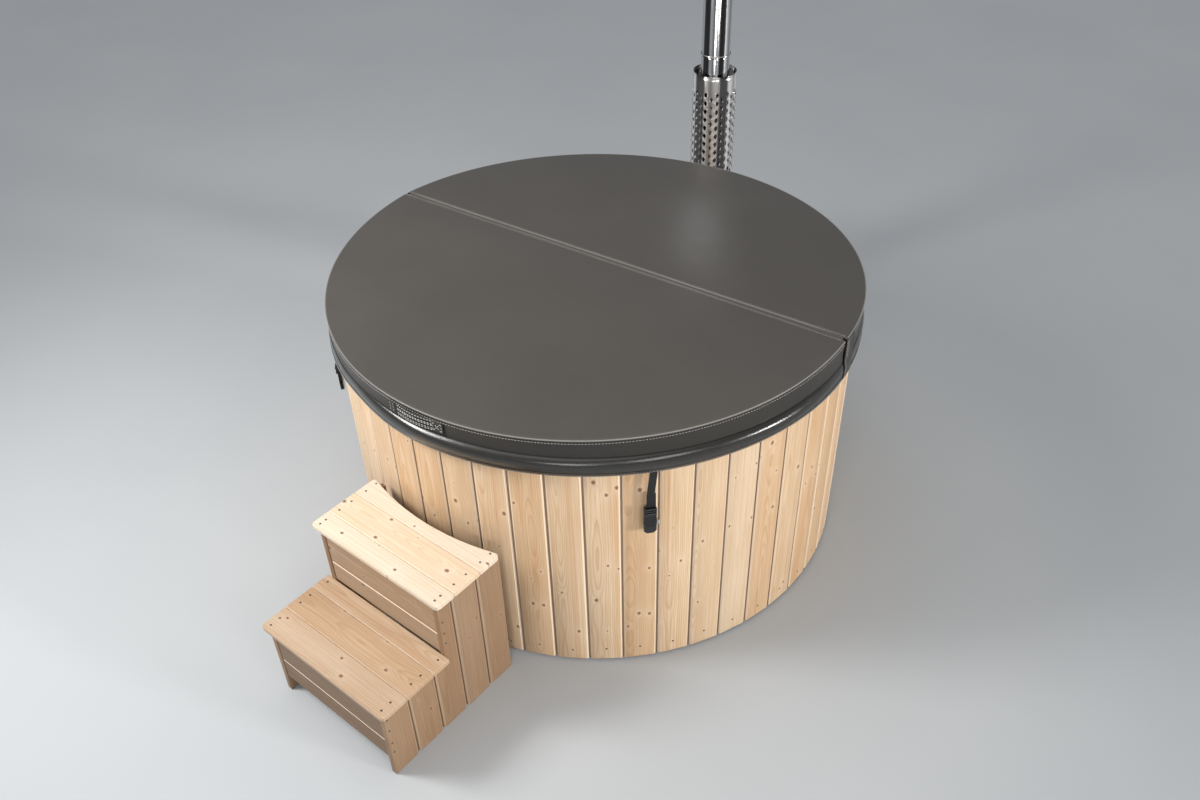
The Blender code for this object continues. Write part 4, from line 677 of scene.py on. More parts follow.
def grid_normals(rows, away):
    """Normals at a grid's points, turned to the side of away(point)."""
    normals = []
    for r, row in enumerate(rows):
        line = []
        for c, point in enumerate(row):
            down = rows[min(r + 1, len(rows) - 1)][c] - rows[max(r - 1, 0)][c]
            along = row[min(c + 1, len(row) - 1)] - row[max(c - 1, 0)]
            normal = down.cross(along).normalized()
            line.append(normal if normal.dot(away(point)) > 0 else -normal)
        normals.append(line)
    return normals


def add_sheet(name, rows, thickness, finish, body, away=from_axis):
    """A thin sheet as a piece, and the normals of its outer face."""
    normals = grid_normals(rows, away)
    return add_piece(name, sheet_mesh(rows, normals, thickness), finish, body), normals


def tube_mesh(points, radius, sides=8, closed=False, flatten=1.0):
    """A tube along points; flatten below 1 presses it down into a bead."""
    rings = []
    last = len(points) - 1
    turns = [tau * k / sides for k in range(sides)]
    for i, point in enumerate(points):
        before = points[i - 1] if closed or i > 0 else point
        after = points[(i + 1) % len(points)] if closed or i < last else point
        ahead = (after - before).normalized()
        across = sideways(ahead) * radius
        up = across.cross(ahead) * flatten
        rings.append([point + across * cos(t) + up * sin(t) for t in turns])
    return loft(rings, closed)


def merge(meshes):
    verts, faces = [], []
    for more_verts, more_faces in meshes:
        base = len(verts)
        verts += list(more_verts)
        faces += [tuple(base + i for i in face) for face in more_faces]
    return verts, faces


# Stitches

def stitch_mesh(start, end, normal, width=THREAD_WIDTH):
    """One stitch: a fat thread that dips into the cloth at both ends."""
    ahead = end - start
    across = ahead.cross(normal).normalized() * width
    rise = normal * width * 0.8
    verts = [start]
    for middle in (start + ahead * 0.25, start + ahead * 0.75):
        verts += [middle + across, middle + rise, middle - across, middle - rise]
    verts.append(end)
    faces = []
    for i in range(4):
        j = (i + 1) % 4
        faces += [(0, 1 + j, 1 + i), (1 + i, 1 + j, 5 + j, 5 + i), (9, 5 + i, 5 + j)]
    return verts, faces


def stitch_run(curve, length, pitch=STITCH_PITCH, width=THREAD_WIDTH):
    """Stitches along a curve, which gives a point and the cloth's normal for a share of its way."""
    count = max(2, round(length / pitch))
    meshes = []
    for i in range(count):
        start, normal = curve((i + 0.14) / count)
        end, _ = curve((i + 0.86) / count)
        meshes.append(stitch_mesh(start, end, normal, width))
    return meshes


def line_run(start, end, normal, pitch, width=THREAD_WIDTH):
    return stitch_run(lambda t: (start.lerp(end, t), normal), (end - start).length, pitch, width)


# Cover

def swell(distance):
    share = min(max(distance, 0.0) / CROWN_WIDTH, 1.0)
    return 1 - (1 - share) ** 2


def ease(value):
    value = min(max(value, 0.0), 1.0)
    return value * value * (3 - 2 * value)


def cover_top(x, y):
    from_fold = abs(y - FOLD_Y)
    crown = COVER_CROWN * swell(from_fold) * swell(COVER_RADIUS - hypot(x, y))
    return RIDGE_Z - COVER_TAPER * from_fold / COVER_RADIUS + crown


def slack(x, y):
    """The vinyl's slight unevenness over the foam, none at the fold."""
    from_fold = min(abs(y - FOLD_Y) / 0.12, 1.0)
    broad = noise.noise((x * 2.3, y * 2.3, 1.7)) * BROAD_SLACK
    from_edge = max(COVER_RADIUS - hypot(x, y), 0.0)
    puckers = noise.noise((atan2(y, x) * 9.0, from_edge * 6.0, 4.2)) * PUCKER_DEPTH
    near_edge = exp(-from_edge / 0.05) * min(from_edge / 0.01, 1.0)
    return (broad * swell(from_edge) + puckers * near_edge) * from_fold


def notch(from_end):
    """How far the vinyl draws back from the fold at a distance from the fold's end."""
    return NOTCH_DEPTH * exp(-max(from_end, 0.0) / NOTCH_RUN)


def half_outline(side, inset):
    """Outline of one half of the cover, drawn in by an inset; side is -1 in front and 1 behind."""
    chord_y = FOLD_Y + side * (FOLD_GAP / 2 + inset)
    radius = COVER_RADIUS - inset
    lean = asin((chord_y + side * NOTCH_DEPTH) / radius)
    start = lean if side > 0 else -pi - lean
    end = pi - lean if side > 0 else lean
    points = [(radius * cos(a), radius * sin(a)) for a in spread(start, end, ARC_STEPS)]
    reach = radius * cos(lean)
    for i in range(1, CHORD_STEPS):
        x = side * -reach * cos(pi * i / CHORD_STEPS)
        points.append((x, chord_y + side * notch(reach - abs(x))))
    return points


def side_ring(side, share, rim):
    """One ring round the jacket's upright side, at a share of its height."""
    groove = SEAM_GROOVE * exp(-((share - 0.93) / 0.035) ** 2)
    inset = COVER_DRAW_IN * sin(pi * share) + FOOT_INSET * (1 - share) ** 4 + groove
    ring = []
    for (x, y), (ex, ey) in zip(half_outline(side, inset), rim):
        top = cover_top(ex, ey) - EDGE_ROUND
        ring.append(Vector((x, y, COVER_BASE + (top - COVER_BASE) * share)))
    return ring


def edge_ring(side, bend):
    """One ring round the jacket's rounded upper edge; bend goes up to a right angle."""
    outline = half_outline(side, EDGE_ROUND * (1 - cos(bend)))
    return [Vector((x, y, cover_top(x, y) - EDGE_ROUND * (1 - sin(bend)))) for x, y in outline]


def jacket_rings(side):
    """Rings of points from the middle of the underside, round the edge, to the middle of the top."""
    middle = FOLD_Y + side * 0.42 * COVER_RADIUS

    def drawn_to_middle(outline, share):
        return [(share * x, middle + share * (y - middle)) for x, y in outline]

    foot = half_outline(side, FOOT_INSET)
    rings = []
    for share in (0.05, 0.35, 0.7, 0.96):
        rings.append([Vector((x, y, COVER_BASE)) for x, y in drawn_to_middle(foot, share)])
    rim = half_outline(side, 0.0)
    for share in (0.0, 0.1, 0.25, 0.45, 0.65, 0.8, 0.88, 0.93, 0.97, 1.0):
        rings.append(side_ring(side, share, rim))
    for step in range(1, EDGE_STEPS + 1):
        rings.append(edge_ring(side, pi / 2 * step / EDGE_STEPS))
    shoulder = half_outline(side, EDGE_ROUND)
    for step in range(1, TOP_RINGS + 1):
        spots = drawn_to_middle(shoulder, 1 - 0.98 * (step / TOP_RINGS) ** 1.6)
        rings.append([Vector((x, y, cover_top(x, y) + slack(x, y))) for x, y in spots])
    return rings


def fold_corner(side):
    """Angle of the fold's right end on the cover's edge, for the half on one side of it."""
    return asin((FOLD_Y + side * FOLD_GAP / 2) / COVER_RADIUS)


def fold_ways(trim):
    """Places along the fold, which is shortened by a trim at each end."""
    reach = sqrt(COVER_RADIUS ** 2 - FOLD_Y ** 2) - trim
    return spread(-reach, reach, FOLD_STEPS)


def half_span(side, trim):
    """First and last angle of one half's rounded edge, shortened by a trim at each end."""
    corner = fold_corner(side)
    off = trim / COVER_RADIUS
    if side > 0:
        return corner + off, pi - corner - off
    return -pi - corner + off, corner - off


def edge_height(angle):
    return cover_top(COVER_RADIUS * cos(angle), COVER_RADIUS * sin(angle))


def fold_seam(side, x):
    """How far the seam beside the fold lies from it, as it wanders along the cover."""
    return FOLD_SEAM + 0.0018 * noise.noise((x * 2.6, 7.0 * side, 0.3)) + 0.0022 * max(x, 0.0) ** 2


def top_point(side, x, off, lift):
    """A point on the cover's top at a distance from the fold, lifted off the vinyl."""
    y = FOLD_Y + side * off
    return Vector((x, y, cover_top(x, y) + slack(x, y) + lift))


def build_welts(side, body):
    radius = COVER_RADIUS - WELT_INSET
    start, end = half_span(side, WELT_TRIM)
    angles = spread(start, end, round((end - start) * radius / WELT_STEP))
    edge_line = [polar(radius, angle, edge_height(angle) - WELT_DROP) for angle in angles]
    bead, sink = FRONT_BEAD if side < 0 else BACK_BEAD
    fold_line = [top_point(side, x, fold_seam(side, x), -sink) for x in fold_ways(WELT_TRIM)]
    welts = (tube_mesh(edge_line, WELT_RADIUS), tube_mesh(fold_line, bead, flatten=BEAD_FLATTEN))
    add_piece(body + "_welts", merge(welts), "welt", body)


def build_jacket(side, body):
    jacket = add_piece(body + "_vinyl", loft(jacket_rings(side)), "vinyl", body)
    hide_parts(body + "_jacket")
    build_welts(side, body)
    start, end = half_span(side, SEAM_TRIM)
    reach = fold_ways(WELT_TRIM)[-1]

    def side_row(t):
        angle = start + (end - start) * t
        return polar(COVER_RADIUS + 0.0002, angle, edge_height(angle) - SEAM_DROP), outward(angle)

    def top_row(t):
        x = -reach + 2 * reach * t
        return top_point(side, x, fold_seam(side, x) + FOLD_STITCH, -0.0003), UP

    stitches = stitch_run(side_row, (end - start) * COVER_RADIUS) + stitch_run(top_row, 2 * reach)
    add_piece(body + "_stitches", merge(stitches), "thread", body, False)


def skirt_fullness(angle):
    """How far the skirt stands out: full in front, drawn in at the left and round the back."""
    heading = degrees(angle)
    return 0.22 + 0.78 * ease((heading + 112.0) / 26.0) * ease((4.0 - heading) / 24.0)


def skirt_radius(share, angle):
    """Outer radius of the hanging skirt: it rolls out from under the jacket and falls to its hem."""
    wave = noise.noise((cos(angle) * 5.0, sin(angle) * 5.0, share * 1.4))
    roll = sin(pi * share ** 0.66)
    tuck = HEM_TUCK * exp(-((degrees(angle) + 109.0) / 10.0) ** 2)
    fall = SKIRT_TOP_RADIUS + (HEM_RADIUS - tuck - SKIRT_TOP_RADIUS) * share
    return fall + (SKIRT_BULGE * skirt_fullness(angle) + SKIRT_WAVE * wave) * roll


def skirt_share(z):
    """How far down the skirt a height is."""
    return (SKIRT_TOP_Z - z) / (SKIRT_TOP_Z - HEM_Z)


def build_skirt(side, body):
    name = body + "_skirt"
    start, end = half_span(side, SLIT_WIDTH / 2)
    angles = spread(start, end, SKIRT_COLUMNS)
    rows = []
    for step in range(SKIRT_STEPS + 1):
        share = (step / SKIRT_STEPS) ** 1.7
        z = SKIRT_TOP_Z + (HEM_Z - SKIRT_TOP_Z) * share
        rows.append([polar(skirt_radius(share, angle), angle, z) for angle in angles])
    skirt, normals = add_sheet(name + "_vinyl", rows, 0.0022, "gloss_vinyl", body)
    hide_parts(name)

    outs = normals[-HEM_STEPS:]
    hem_rows = [[p + n * 0.0009 for p, n in zip(*pair)] for pair in zip(rows[-HEM_STEPS:], outs)]
    hem = add_piece(name + "_hem", sheet_mesh(hem_rows, outs, 0.0008), "gloss_vinyl", body)
    wide = (end - start) * HEM_RADIUS

    def hem_row(t):
        place = t * SKIRT_COLUMNS
        i = min(int(place), SKIRT_COLUMNS - 1)
        low = hem_rows[-2][i].lerp(hem_rows[-2][i + 1], place - i)
        return low + outs[-2][i] * 0.0004, outs[-2][i]

    add_piece(name + "_stitches", merge(stitch_run(hem_row, wide)), "thread", body, False)


def build_fold():
    """The strip that joins the halves: flat at its seams, dipping into the groove between them."""
    def strip_point(x, share):
        off = share * fold_seam(1 if share > 0 else -1, x)
        dip = FOLD_DIP * exp(-(off / FOLD_DIP) ** 2)
        return Vector((x, FOLD_Y + off, RIDGE_Z + 0.0001 - dip))

    rows = [[strip_point(x, share) for x in fold_ways(SEAM_TRIM)] for share in spread(-1.0, 1.0, 16)]
    strip, _ = add_sheet("cover_fold_strip", rows, 0.0008, "vinyl", None, lambda point: UP)
    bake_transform(strip)


def fold_end(end):
    """Angle of one end of the fold on the cover's edge, and which way the back half lies from it."""
    corner = fold_corner(1)
    return (corner, 1) if end == "right" else (pi - corner, -1)


def flap_point(end, z, step, along):
    """A point of the flap, by height, its step down and its share along; it gapes at its free edge."""
    first, way = fold_end(end)
    angle = first + way * (0.0010 + FLAP_WIDTH * along) / COVER_RADIUS
    below = skirt_share(z)
    base = skirt_radius(below, angle) if below > 0 else COVER_RADIUS
    gape = FLAP_GAPE * along ** 3 * sin(pi * min(step / 12, 1.0))
    return polar(base + FLAP_PROUD + gape, angle, z)


def build_flap(end):
    """A flap of vinyl that is sewn to the back half beside the slit at one end of the fold."""
    heights = spread(RIDGE_Z - 0.004, HEM_Z + 0.002, 20)
    rows = [[flap_point(end, z, i, j / 12) for j in range(13)] for i, z in enumerate(heights)]
    flap, normals = add_sheet("fold_flap_" + end, rows, 0.0012, "vinyl", "cover_back")
    stitches = []
    for column, last in ((2, 18), (4, 10)):
        for i in range(1, last):
            normal = normals[i][column]
            spot = rows[i][column] + normal * 0.0003
            stitches.append(stitch_mesh(spot, spot.lerp(rows[i + 1][column], 0.72), normal))
    add_piece("fold_flap_stitches_" + end, merge(stitches), "thread", "cover_back", False)


def slit_shade_point(end, off, z):
    """A point of the dark strip of painted shade behind the slit: flat behind the slit, flaring out to the
    back skirt's inner face.
    """
    first, way = fold_end(end)
    angle = first + way * off / COVER_RADIUS
    flat = SKIRT_TOP_RADIUS - 0.0015
    skirt = skirt_radius(min(max(skirt_share(z), 0.0), 1.0), angle) - 0.0027
    return polar(flat + (skirt - flat) * ease((off - 0.001) / 0.006), angle, z)


def build_slit_shade_strip(end):
    """A dark strip behind the slit in the skirt at one end of the fold, sewn to the back half, as painted
    shade where the slit shows.
    """
    offs = spread(-SLIT_SHADE_WIDTH / 2, SLIT_SHADE_WIDTH / 2, 18)
    heights = spread(SKIRT_TOP_Z - 0.001, HEM_Z - SLIT_SHADE_DROP, 8)
    rows = [[slit_shade_point(end, off, z) for off in offs] for z in heights]
    strip, _ = add_sheet("slit_shade_strip_" + end, rows, 0.0010, "webbing", "cover_back")


# Handle

def handle_point(along, up):
    """A point of the handle's outer face, by place along it and height above its lower edge."""
    free = HANDLE_LENGTH / 2 - HANDLE_SEWN
    bow = HANDLE_BOW * cos(pi / 2 * min(abs(along) / free, 1.0)) ** 1.2
    ribs = -0.0012 * sum(exp(-((up / HANDLE_HEIGHT - share) / 0.06) ** 2) for share in HANDLE_GROOVES)
    return polar(COVER_RADIUS + HANDLE_PROUD + bow + ribs, FRONT + along / COVER_RADIUS, HANDLE_LOW + up)


def handle_shade_strip(start, stop, low, high):
    """A narrow dark strip on the handle, between two places along it and two heights, as painted shade."""
    proud = outward(FRONT) * 0.0006
    rows = [[handle_point(along, up) + proud for along in spread(start, stop, 24)] for up in (high, low)]
    return sheet_mesh(rows, grid_normals(rows, from_axis), 0.0006)


def handle_row(up, reach):
    """A curve along the handle at a height, as far as reach to each side, for a row of stitches."""
    def curve(t):
        along = -reach + 2 * reach * t
        out = outward(FRONT + along / COVER_RADIUS)
        return handle_point(along, up) + out * 0.0004, out
    return curve


def handle_stitches(half):
    """Rows along the free part, a crossed box at the right end and two lines at the left."""
    stitches = []
    free = half - HANDLE_SEWN
    for share, width in HANDLE_ROWS:
        stitches += stitch_run(handle_row(share * HANDLE_HEIGHT, free), 2 * free, 0.011, width)
    low, high = HANDLE_MARGIN, HANDLE_HEIGHT - HANDLE_MARGIN
    near, far = half - HANDLE_MARGIN, half - 0.034
    lines = [((far, low), (near, high)), ((far, high), (near, low))]
    lines += [((along, low), (along, high)) for along in (near, far, -near, 0.018 - half)]
    out = outward(FRONT)
    for line in lines:
        start, stop = (handle_point(*corner) + out * 0.0005 for corner in line)
        stitches += line_run(start, stop, out, 0.010, 0.0013)
    return stitches


def build_handle():
    """A flat band with rows of stitching along it and a sewn box at one end."""
    half = HANDLE_LENGTH / 2
    ways = spread(-half, half, 70)
    rows = [[handle_point(along, up) for along in ways] for up in spread(HANDLE_HEIGHT, 0.0, 40)]
    band, _ = add_sheet("cover_handle_band", rows, 0.0022, "vinyl", "cover_front")
    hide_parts("cover_handle")
    add_piece("cover_handle_stitches", merge(handle_stitches(half)), "thread", "cover_front", False)
    # Painted shade: a dark strip for the slit at the sewn left end, and dark strips in the two grooves
    start, stop = HANDLE_SEWN - half - 0.0100, HANDLE_SEWN - half - 0.0050
    shade_strips = [handle_shade_strip(start, stop, 0.0, HANDLE_HEIGHT)]
    for share in HANDLE_GROOVES:
        middle = share * HANDLE_HEIGHT
        shade_strips.append(handle_shade_strip(stop, half - HANDLE_SEWN, middle - SHADE_STRIP_HALF, middle + SHADE_STRIP_HALF))
    shade_strip = add_piece("cover_handle_shade_strips", merge(shade_strips), "webbing", "cover_front")


# Straps

def strap_frame(side):
    angle = radians(-90.0 + STRAP_ANGLE * side)
    turn = Matrix.Rotation(angle - pi / 2, 4, "Z")
    return Matrix.Translation(polar(STRAP_RADIUS, angle, STRAP_Z)) @ turn


def strap_lean(side, down):
    return side * STRAP_LEAN * min(down / STRAP_LEAN_LENGTH, 1.0)


def strap_line(frame, middle, out, down, half, steps):
    """Points across the strap, as far as half to each side of a middle."""
    return [frame @ Vector((middle + x, out, -down)) for x in spread(-half, half, steps)]


def build_webbing(side, name, frame):
    """The strap itself, bowed a little, and its loose end behind it."""
    body = "strap_" + name
    rows = []
    for down in spread(0.0, STRAP_LENGTH, 30):
        out = 0.0012 * sin(pi * down / STRAP_LENGTH) + 0.0008 * min(down / 0.012, 1.0)
        rows.append(strap_line(frame, strap_lean(side, down), out, down, STRAP_WIDTH / 2, 10))
    strap, _ = add_sheet("cover_strap_webbing_" + name, rows, WEBBING_THICKNESS, "webbing", body)
    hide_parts("strap_" + name)
    rows = []
    for share in spread(0.0, 1.0, 12):
        down = TAIL_START + TAIL_LENGTH * share
        out = -0.0030 - 0.0022 * (1 - share) ** 2
        middle = strap_lean(side, down) - side * 0.006
        rows.append(strap_line(frame, middle, out, down, STRAP_WIDTH / 2, 8))
    tail, _ = add_sheet("cover_strap_tail_" + name, rows, WEBBING_THICKNESS, "webbing", body)


def build_strap(side):
    name = "right" if side > 0 else "left"
    body = "strap_" + name
    frame = strap_frame(side)
    build_webbing(side, name, frame)

    centre = strap_lean(side, STRAP_LENGTH)
    bars = []
    for down, proud, radius in LOCK_BARS:
        ways = (-0.0165, -0.008, 0.0, 0.008, 0.0165)
        bars.append(tube_mesh([frame @ Vector((centre + x, proud, -down)) for x in ways], radius, 10))
    add_piece("ladder_lock_bars_" + name, merge(bars), "plastic", body)

    ribs = []
    for down in GRIP_RIBS:
        ways = (-0.012, -0.006, 0.0, 0.006, 0.012)
        curve = [Vector((centre + x, 0.0062, -down - 0.0015 * cos(x * 90.0))) for x in ways]
        ribs.append(tube_mesh([frame @ point for point in curve], 0.0012))
    add_piece("buckle_grip_ribs_" + name, merge(ribs), "plastic", "buckle_" + name)

    out = frame.to_3x3() @ Vector((0.0, 1.0, 0.0))
    stitches = []
    for down in STRAP_STITCHES:
        ends = strap_line(frame, strap_lean(side, down), 0.0024, down, 0.011, 1)
        stitches += line_run(*ends, out, 0.0045)
    add_piece("strap_stitches_" + name, merge(stitches), "webbing", body, False)


def build_cover():
    for side, body in ((-1, "cover_front"), (1, "cover_back")):
        build_jacket(side, body)
        build_skirt(side, body)
    build_fold()
    for end in ("right", "left"):
        build_flap(end)
        build_slit_shade_strip(end)
    build_handle()
    for side in (1, -1):
        build_strap(side)


# Fasteners

def head_mesh(place, normal, radius, proud, recess=0.0):
    """A round screw or nail head, domed, with a cross recess where it has one."""
    across = sideways(normal)
    up = across.cross(normal)
    count = 16
    rings = []
    for share, rise in ((1.0, -0.4), (1.0, 0.25), (0.86, 0.75), (0.5, 1.0), (0.22, 1.0)):
        ring = []
        for i in range(count):
            turn = tau * i / count
            sink = recess if share < 0.6 and i % 4 == 0 else 0.0
            spot = place + (across * cos(turn) + up * sin(turn)) * radius * share
            ring.append(spot + normal * proud * (rise - sink))
        rings.append(ring)
    return loft(rings)


def build_wall_fasteners():
    """A nail at the foot of each board, and the screws that the straps hook on."""
    nails = []
    for board in range(STAVE_COUNT):
        angle = FRONT + tau * board / STAVE_COUNT
        shift = 0.010 * noise.noise((board * 1.37, 2.1, 0.4))
        place = polar(WALL_RADIUS, angle, WALL_BOTTOM + NAIL_HEIGHT + shift)
        nails.append(head_mesh(place, outward(angle), 0.0034, 0.0005))
    add_piece("wall_nails", merge(nails), "nail", "tub", False)
    hooks = []
    for side in (1, -1):
        angle = radians(-90.0 + side * HOOK_ANGLE)
        place = polar(WALL_RADIUS, angle, HOOK_Z)
        off = outward(angle) * 0.004
        hooks.append(head_mesh(place + off, outward(angle), 0.0085, 0.0045, 0.5))
        hooks.append(tube_mesh([place - off, place + off], 0.0035, 10))
    add_piece("strap_wall_screws", merge(hooks), "screw", "tub")


def build_step_screws():
    frame = Matrix.Translation(STEP_ORIGIN) @ Matrix.Rotation(STEP_TURN, 4, "Z")
    side_way = frame.to_3x3() @ Vector((1.0, 0.0, 0.0))
    screws = []
    for rows, z in ((UPPER_SCREW_ROWS, UPPER_TREAD_TOP), (LOWER_SCREW_ROWS, LOWER_TREAD_TOP)):
        for y in rows:
            for side in (-1, 1):
                place = frame @ Vector((side * (STEP_WIDTH / 2 - SCREW_INSET), y, z))
                screws.append(head_mesh(place, UP, 0.0038, 0.0003, SCREW_RECESS))
    for y, heights in SIDE_SCREWS:
        for side in (-1, 1):
            for z in heights:
                place = frame @ Vector((side * PANEL_FACE, y, z))
                screws.append(head_mesh(place, side_way * side, 0.0034, 0.0003, SCREW_RECESS))
    add_piece("step_screws", merge(screws), "nail", "step", False)


# Chimney

def flue_point(radius, turn, z):
    return Vector((*CHIMNEY, 0.0)) + polar(radius, turn, z)


def flue_ring(radius, z, steps):
    return [flue_point(radius, tau * i / steps, z) for i in range(steps)]


def add_pipe(name, profile):
    """Turn an outline of (distance outside the pipe's radius, height), in place of a solid pipe."""
    turns = [tau * i / ROUND_STEPS for i in range(ROUND_STEPS)]
    rings = [[flue_point(FLUE_RADIUS + out, turn, z) for out, z in profile] for turn in turns]
    piece = add_piece(name + "_tube", loft(rings, True), "tube", "tub")
    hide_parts(name)


def build_pipes():
    foot = [(-FLUE_WALL, FLUE_BASE), (0.0, FLUE_BASE), (0.0, LOWER_PIPE_TOP - 0.0018)]
    add_pipe("chimney_pipe_lower", foot + [(-0.0008, LOWER_PIPE_TOP), (-FLUE_WALL, LOWER_PIPE_TOP)])
    rolled = [(-SOCKET_INSET, SOCKET_BASE), (-SOCKET_FIT, SOCKET_BASE), (-SOCKET_FIT, 1.2685)]
    rolled.append((0.0012, 1.2690))
    rolled += [(0.0014 + 0.0030 * cos(t), 1.2735 + 0.0036 * sin(t)) for t in spread(-pi / 2, pi / 2, 8)]
    rolled += [(0.0004, 1.2780), (0.0, 1.2790), (0.0, FLUE_TOP - 0.0015), (-0.0007, FLUE_TOP)]
    rolled += [(-FLUE_WALL, FLUE_TOP), (-FLUE_WALL, 1.2900), (-SOCKET_INSET, 1.2860)]
    add_pipe("chimney_pipe_upper", rolled)
    trim = []
    for heading in (-56.0, 64.0, 184.0):
        turn = radians(heading)
        trim.append(head_mesh(flue_point(FLUE_RADIUS, turn, 1.246), outward(turn), 0.0052, 0.0022))
    trim.append(tube_mesh(flue_ring(FLUE_RADIUS + 0.0026, 1.2780, ROUND_STEPS), 0.0019, closed=True))
    add_piece("chimney_rivets_and_bead", merge(trim), "screw", "tub")


def guard_cell(turn, z, verts, faces, edges):
    """One opening in the guard: a ring of faces round a diamond, with its lower lip pressed out."""
    def corner(i, far, near, lift=0.0, proud=0.0):
        angle = pi / 2 - i * pi / 4
        reach = far if i % 2 == 0 else near
        across = GUARD_SLOT[0] * reach * cos(angle) / GUARD_RADIUS
        height = z + GUARD_SLOT[1] * reach * sin(angle) + lift
        verts.append(flue_point(GUARD_RADIUS + proud, turn + across, height))
        return len(verts) - 1

    hole = [corner(i, 1.0, 0.80) for i in range(8)]
    for i in range(8):
        j = (i + 1) % 8
        faces.append((edges[i], hole[i], hole[j], edges[j]))
    shares = ((2, 0.15), (3, 0.85), (4, 1.0), (5, 0.85), (6, 0.15))
    lip = [(hole[i], corner(i, 0.86, 0.70, 0.0006, GUARD_LIP * share)) for i, share in shares]
    for (a, b), (c, d) in zip(lip, lip[1:]):
        faces.append((a, b, d, c))


def guard_heights():
    """Heights of the sleeve's level lines: the plain band, the rows of openings and the foot."""
    half = GUARD_ROW_PITCH / 2
    levels = 2 * GUARD_ROWS + 1
    top = GUARD_TOP - GUARD_BAND
    heights = [GUARD_TOP, GUARD_TOP - 0.02, GUARD_TOP - 0.04] + [top - half * k for k in range(levels + 1)]
    return heights + [top - half * levels - 0.06, GUARD_BASE]


def guard_mesh():
    """The perforated sleeve: columns of staggered openings below a plain band."""
    lines = 2 * GUARD_COLUMNS
    pitch = tau / GUARD_COLUMNS
    heights = guard_heights()
    verts, faces, place = [], [], {}
    for line in range(lines):
        for row, z in enumerate(heights):
            place[line, row] = len(verts)
            verts.append(flue_point(GUARD_RADIUS, line * pitch / 2, z))

    def plain(line, row):
        a = (line + 1) % lines
        faces.append((place[line, row], place[line, row + 1], place[a, row + 1], place[a, row]))

    for column in range(GUARD_COLUMNS):
        left, middle, right = 2 * column, 2 * column + 1, (2 * column + 2) % lines
        first = 3 + column % 2
        last = first + 2 * GUARD_ROWS
        for row in range(len(heights) - 1):
            if row < first or row >= last:
                plain(left, row)
                plain(middle, row)
        for row in range(first, last, 2):
            around = zip((middle, right, right, right, middle, left, left, left), (0, 0, 1, 2, 2, 2, 1, 0))
            edges = [place[line, row + down] for line, down in around]
            guard_cell(middle * pitch / 2, heights[row + 1], verts, faces, edges)
    return verts, faces


def build_guard():
    guard = add_piece("chimney_guard_sleeve", guard_mesh(), "guard", "tub")
    shell = guard.modifiers.new("sheet", "SOLIDIFY")
    shell.thickness = 0.0012
    shell.offset = -1.0
    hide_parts("chimney_guard")
    rings = [flue_ring(GUARD_RADIUS - 0.0006, z, 88) for z in (GUARD_TOP, GUARD_BASE + 0.0016)]
    rims = [tube_mesh(ring, 0.0015, closed=True) for ring in rings]
    add_piece("chimney_guard_rims", merge(rims), "tube", "tub")


# Solids that stay, with their finish

def dress(node, finish, bevel=0.0):
    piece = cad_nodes[node]
    piece.data.materials.clear()
    piece.data.materials.append(MATERIALS[finish])
    if "custom_normal" in piece.data.attributes:
        piece.data.attributes.remove(piece.data.attributes["custom_normal"])
    piece.data.shade_smooth()
    weld = piece.modifiers.new("weld", "WELD")
    weld.merge_threshold = 0.00002
    if bevel:
        round_off = piece.modifiers.new("edges", "BEVEL")
        round_off.width = bevel
        round_off.segments = 2
        round_off.limit_method = "ANGLE"
        round_off.angle_limit = radians(40.0)
        round_off.use_clamp_overlap = True
    split = piece.modifiers.new("split", "EDGE_SPLIT")
    split.split_angle = radians(35.0)


def dress_solids():
    for i in range(1, 11):
        dress(f"wall_boards_{i:02d}", "wall", 0.0007)
    for level in ("upper", "lower"):
        for part in ("front", "middle", "rear"):
            dress(f"{level}_tread_{part}", level + "_tread")
        for part in ("upper", "lower"):
            dress(f"{level}_riser_{part}", level + "_riser")
        dress("batten_ring_" + level, "treated")
        dress("water_pipe_" + level, "rubber")
    for side in ("left", "right"):
        dress("step_side_" + side, "step_side", 0.0008)
        dress("buckle_prongs_" + side, "plastic", 0.0009)
        dress("buckle_body_" + side, "plastic", 0.0022)
    for finish, bevel, names in FINISHES:
        for name in names:
            dress(name, finish, bevel)


# Stage

def build_stage():
    corners = ((-1, -1), (1, -1), (1, 1), (-1, 1))
    verts = [(x * FLOOR_HALF, y * FLOOR_HALF, FLOOR_Z) for x, y in corners]
    add_piece("studio_floor", (verts, [(0, 1, 2, 3)]), "floor", None, False)


def hang_lamp(name, kind, place, ahead, **settings):
    light = bpy.data.lights.new(name, kind)
    for key, value in settings.items():
        setattr(light, key, value)
    lamp = bpy.data.objects.new(name, light)
    SCENE.collection.objects.link(lamp)
    lamp.location = place
    lamp.rotation_euler = ahead.to_track_quat("-Z", "Y").to_euler()
    return lamp


def add_light(name, place, target, size, power, colour=WARM):
    ahead = Vector(target) - Vector(place)
    lamp = hang_lamp(name, "AREA", place, ahead, shape="DISK", size=size, energy=power, color=colour)
    lamp.visible_camera = False


def add_sun(name, heading, height, strength, softness, colour):
    """A distant light from a heading and height in degrees, so that the floor stays even."""
    source = outward(radians(heading)) * cos(radians(height)) + UP * sin(radians(height))
    hang_lamp(name, "SUN", source * 6.0, -source, energy=strength, angle=radians(softness), color=colour)


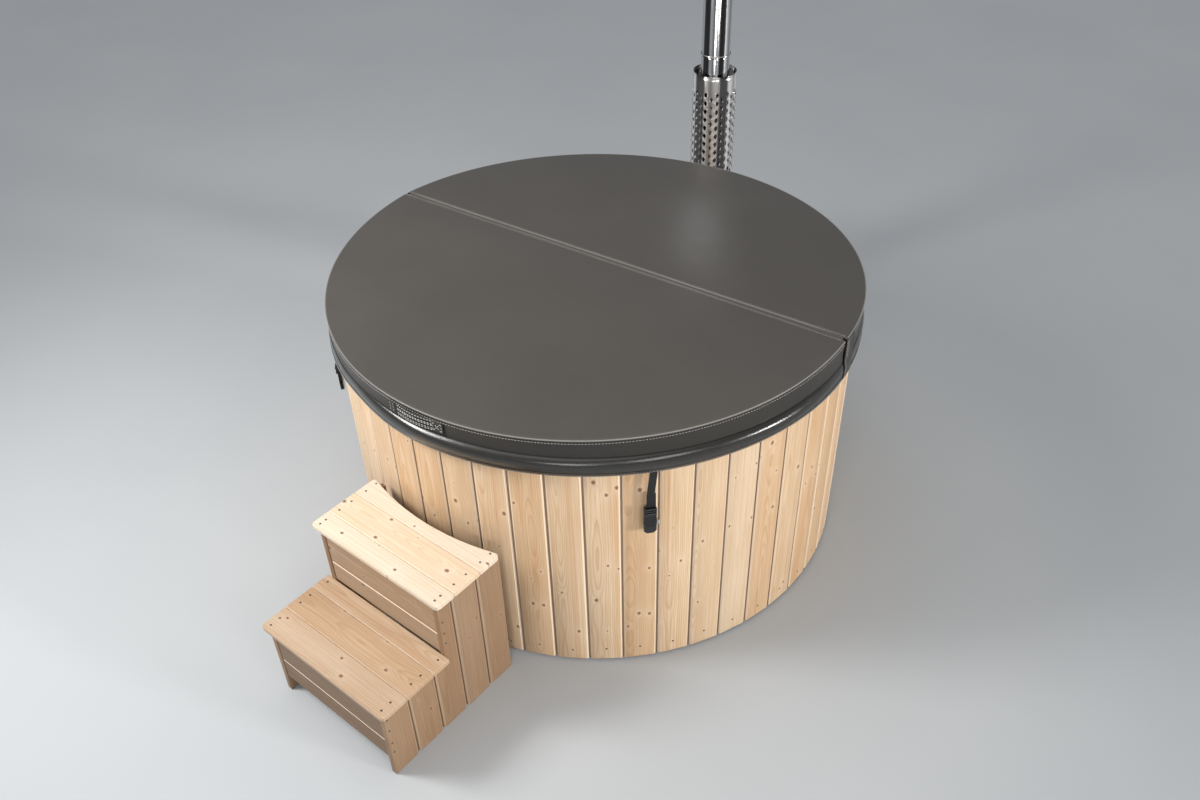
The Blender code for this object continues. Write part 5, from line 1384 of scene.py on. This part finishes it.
def light_scene():
    SCENE.view_settings.view_transform = "Standard"
    world = bpy.data.worlds.new("studio")
    SCENE.world = world
    world.use_nodes = True
    background = world.node_tree.nodes["Background"]
    background.inputs["Color"].default_value = SKY_COLOUR
    background.inputs["Strength"].default_value = SKY_STRENGTH
    add_light("key", (-1.9, -2.5, 2.7), (-0.1, -0.3, 0.8), 1.1, 86.0)
    add_light("upper", (-2.0, -2.35, 3.75), (-0.1, 0.0, 0.9), 0.9, 44.0)
    add_light("front", (1.7, -3.4, 1.9), (0.2, -0.6, 0.6), 1.0, 22.0)
    add_light("strip", (2.95, -2.0, 2.3), (0.6, -0.5, 0.9), 1.3, 26.0)
    add_light("glint", (-0.20, 1.09, 1.42), (0.17, 0.43, 1.01), 0.18, 0.30, WHITE)
    add_sun("rim", 12.0, 9.0, 2.4, 10.0, WARM)
    add_sun("overhead", 200.0, 80.0, 0.8, 60.0, WHITE)


def add_camera():
    data = bpy.data.cameras.new("photo_view")
    data.sensor_width = SENSOR_WIDTH
    data.lens = CAMERA_LENS
    camera = bpy.data.objects.new("photo_view", data)
    SCENE.collection.objects.link(camera)
    turn = Matrix.Rotation(CAMERA_HEADING, 4, "Z") @ Matrix.Rotation(pi / 2 - CAMERA_PITCH, 4, "X")
    camera.matrix_world = Matrix.Translation(CAMERA_PLACE) @ turn @ Matrix.Rotation(CAMERA_ROLL, 4, "Z")
    SCENE.camera = camera


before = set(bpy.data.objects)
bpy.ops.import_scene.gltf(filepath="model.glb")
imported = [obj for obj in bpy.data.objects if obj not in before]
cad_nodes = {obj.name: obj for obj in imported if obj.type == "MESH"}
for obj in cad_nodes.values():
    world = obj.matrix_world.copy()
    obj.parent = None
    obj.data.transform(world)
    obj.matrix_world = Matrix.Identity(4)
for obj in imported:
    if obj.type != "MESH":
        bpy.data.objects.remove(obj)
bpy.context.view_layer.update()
add_camera()
make_materials()
dress_solids()
build_cover()
build_wall_fasteners()
build_step_screws()
build_pipes()
build_guard()
build_stage()
light_scene()
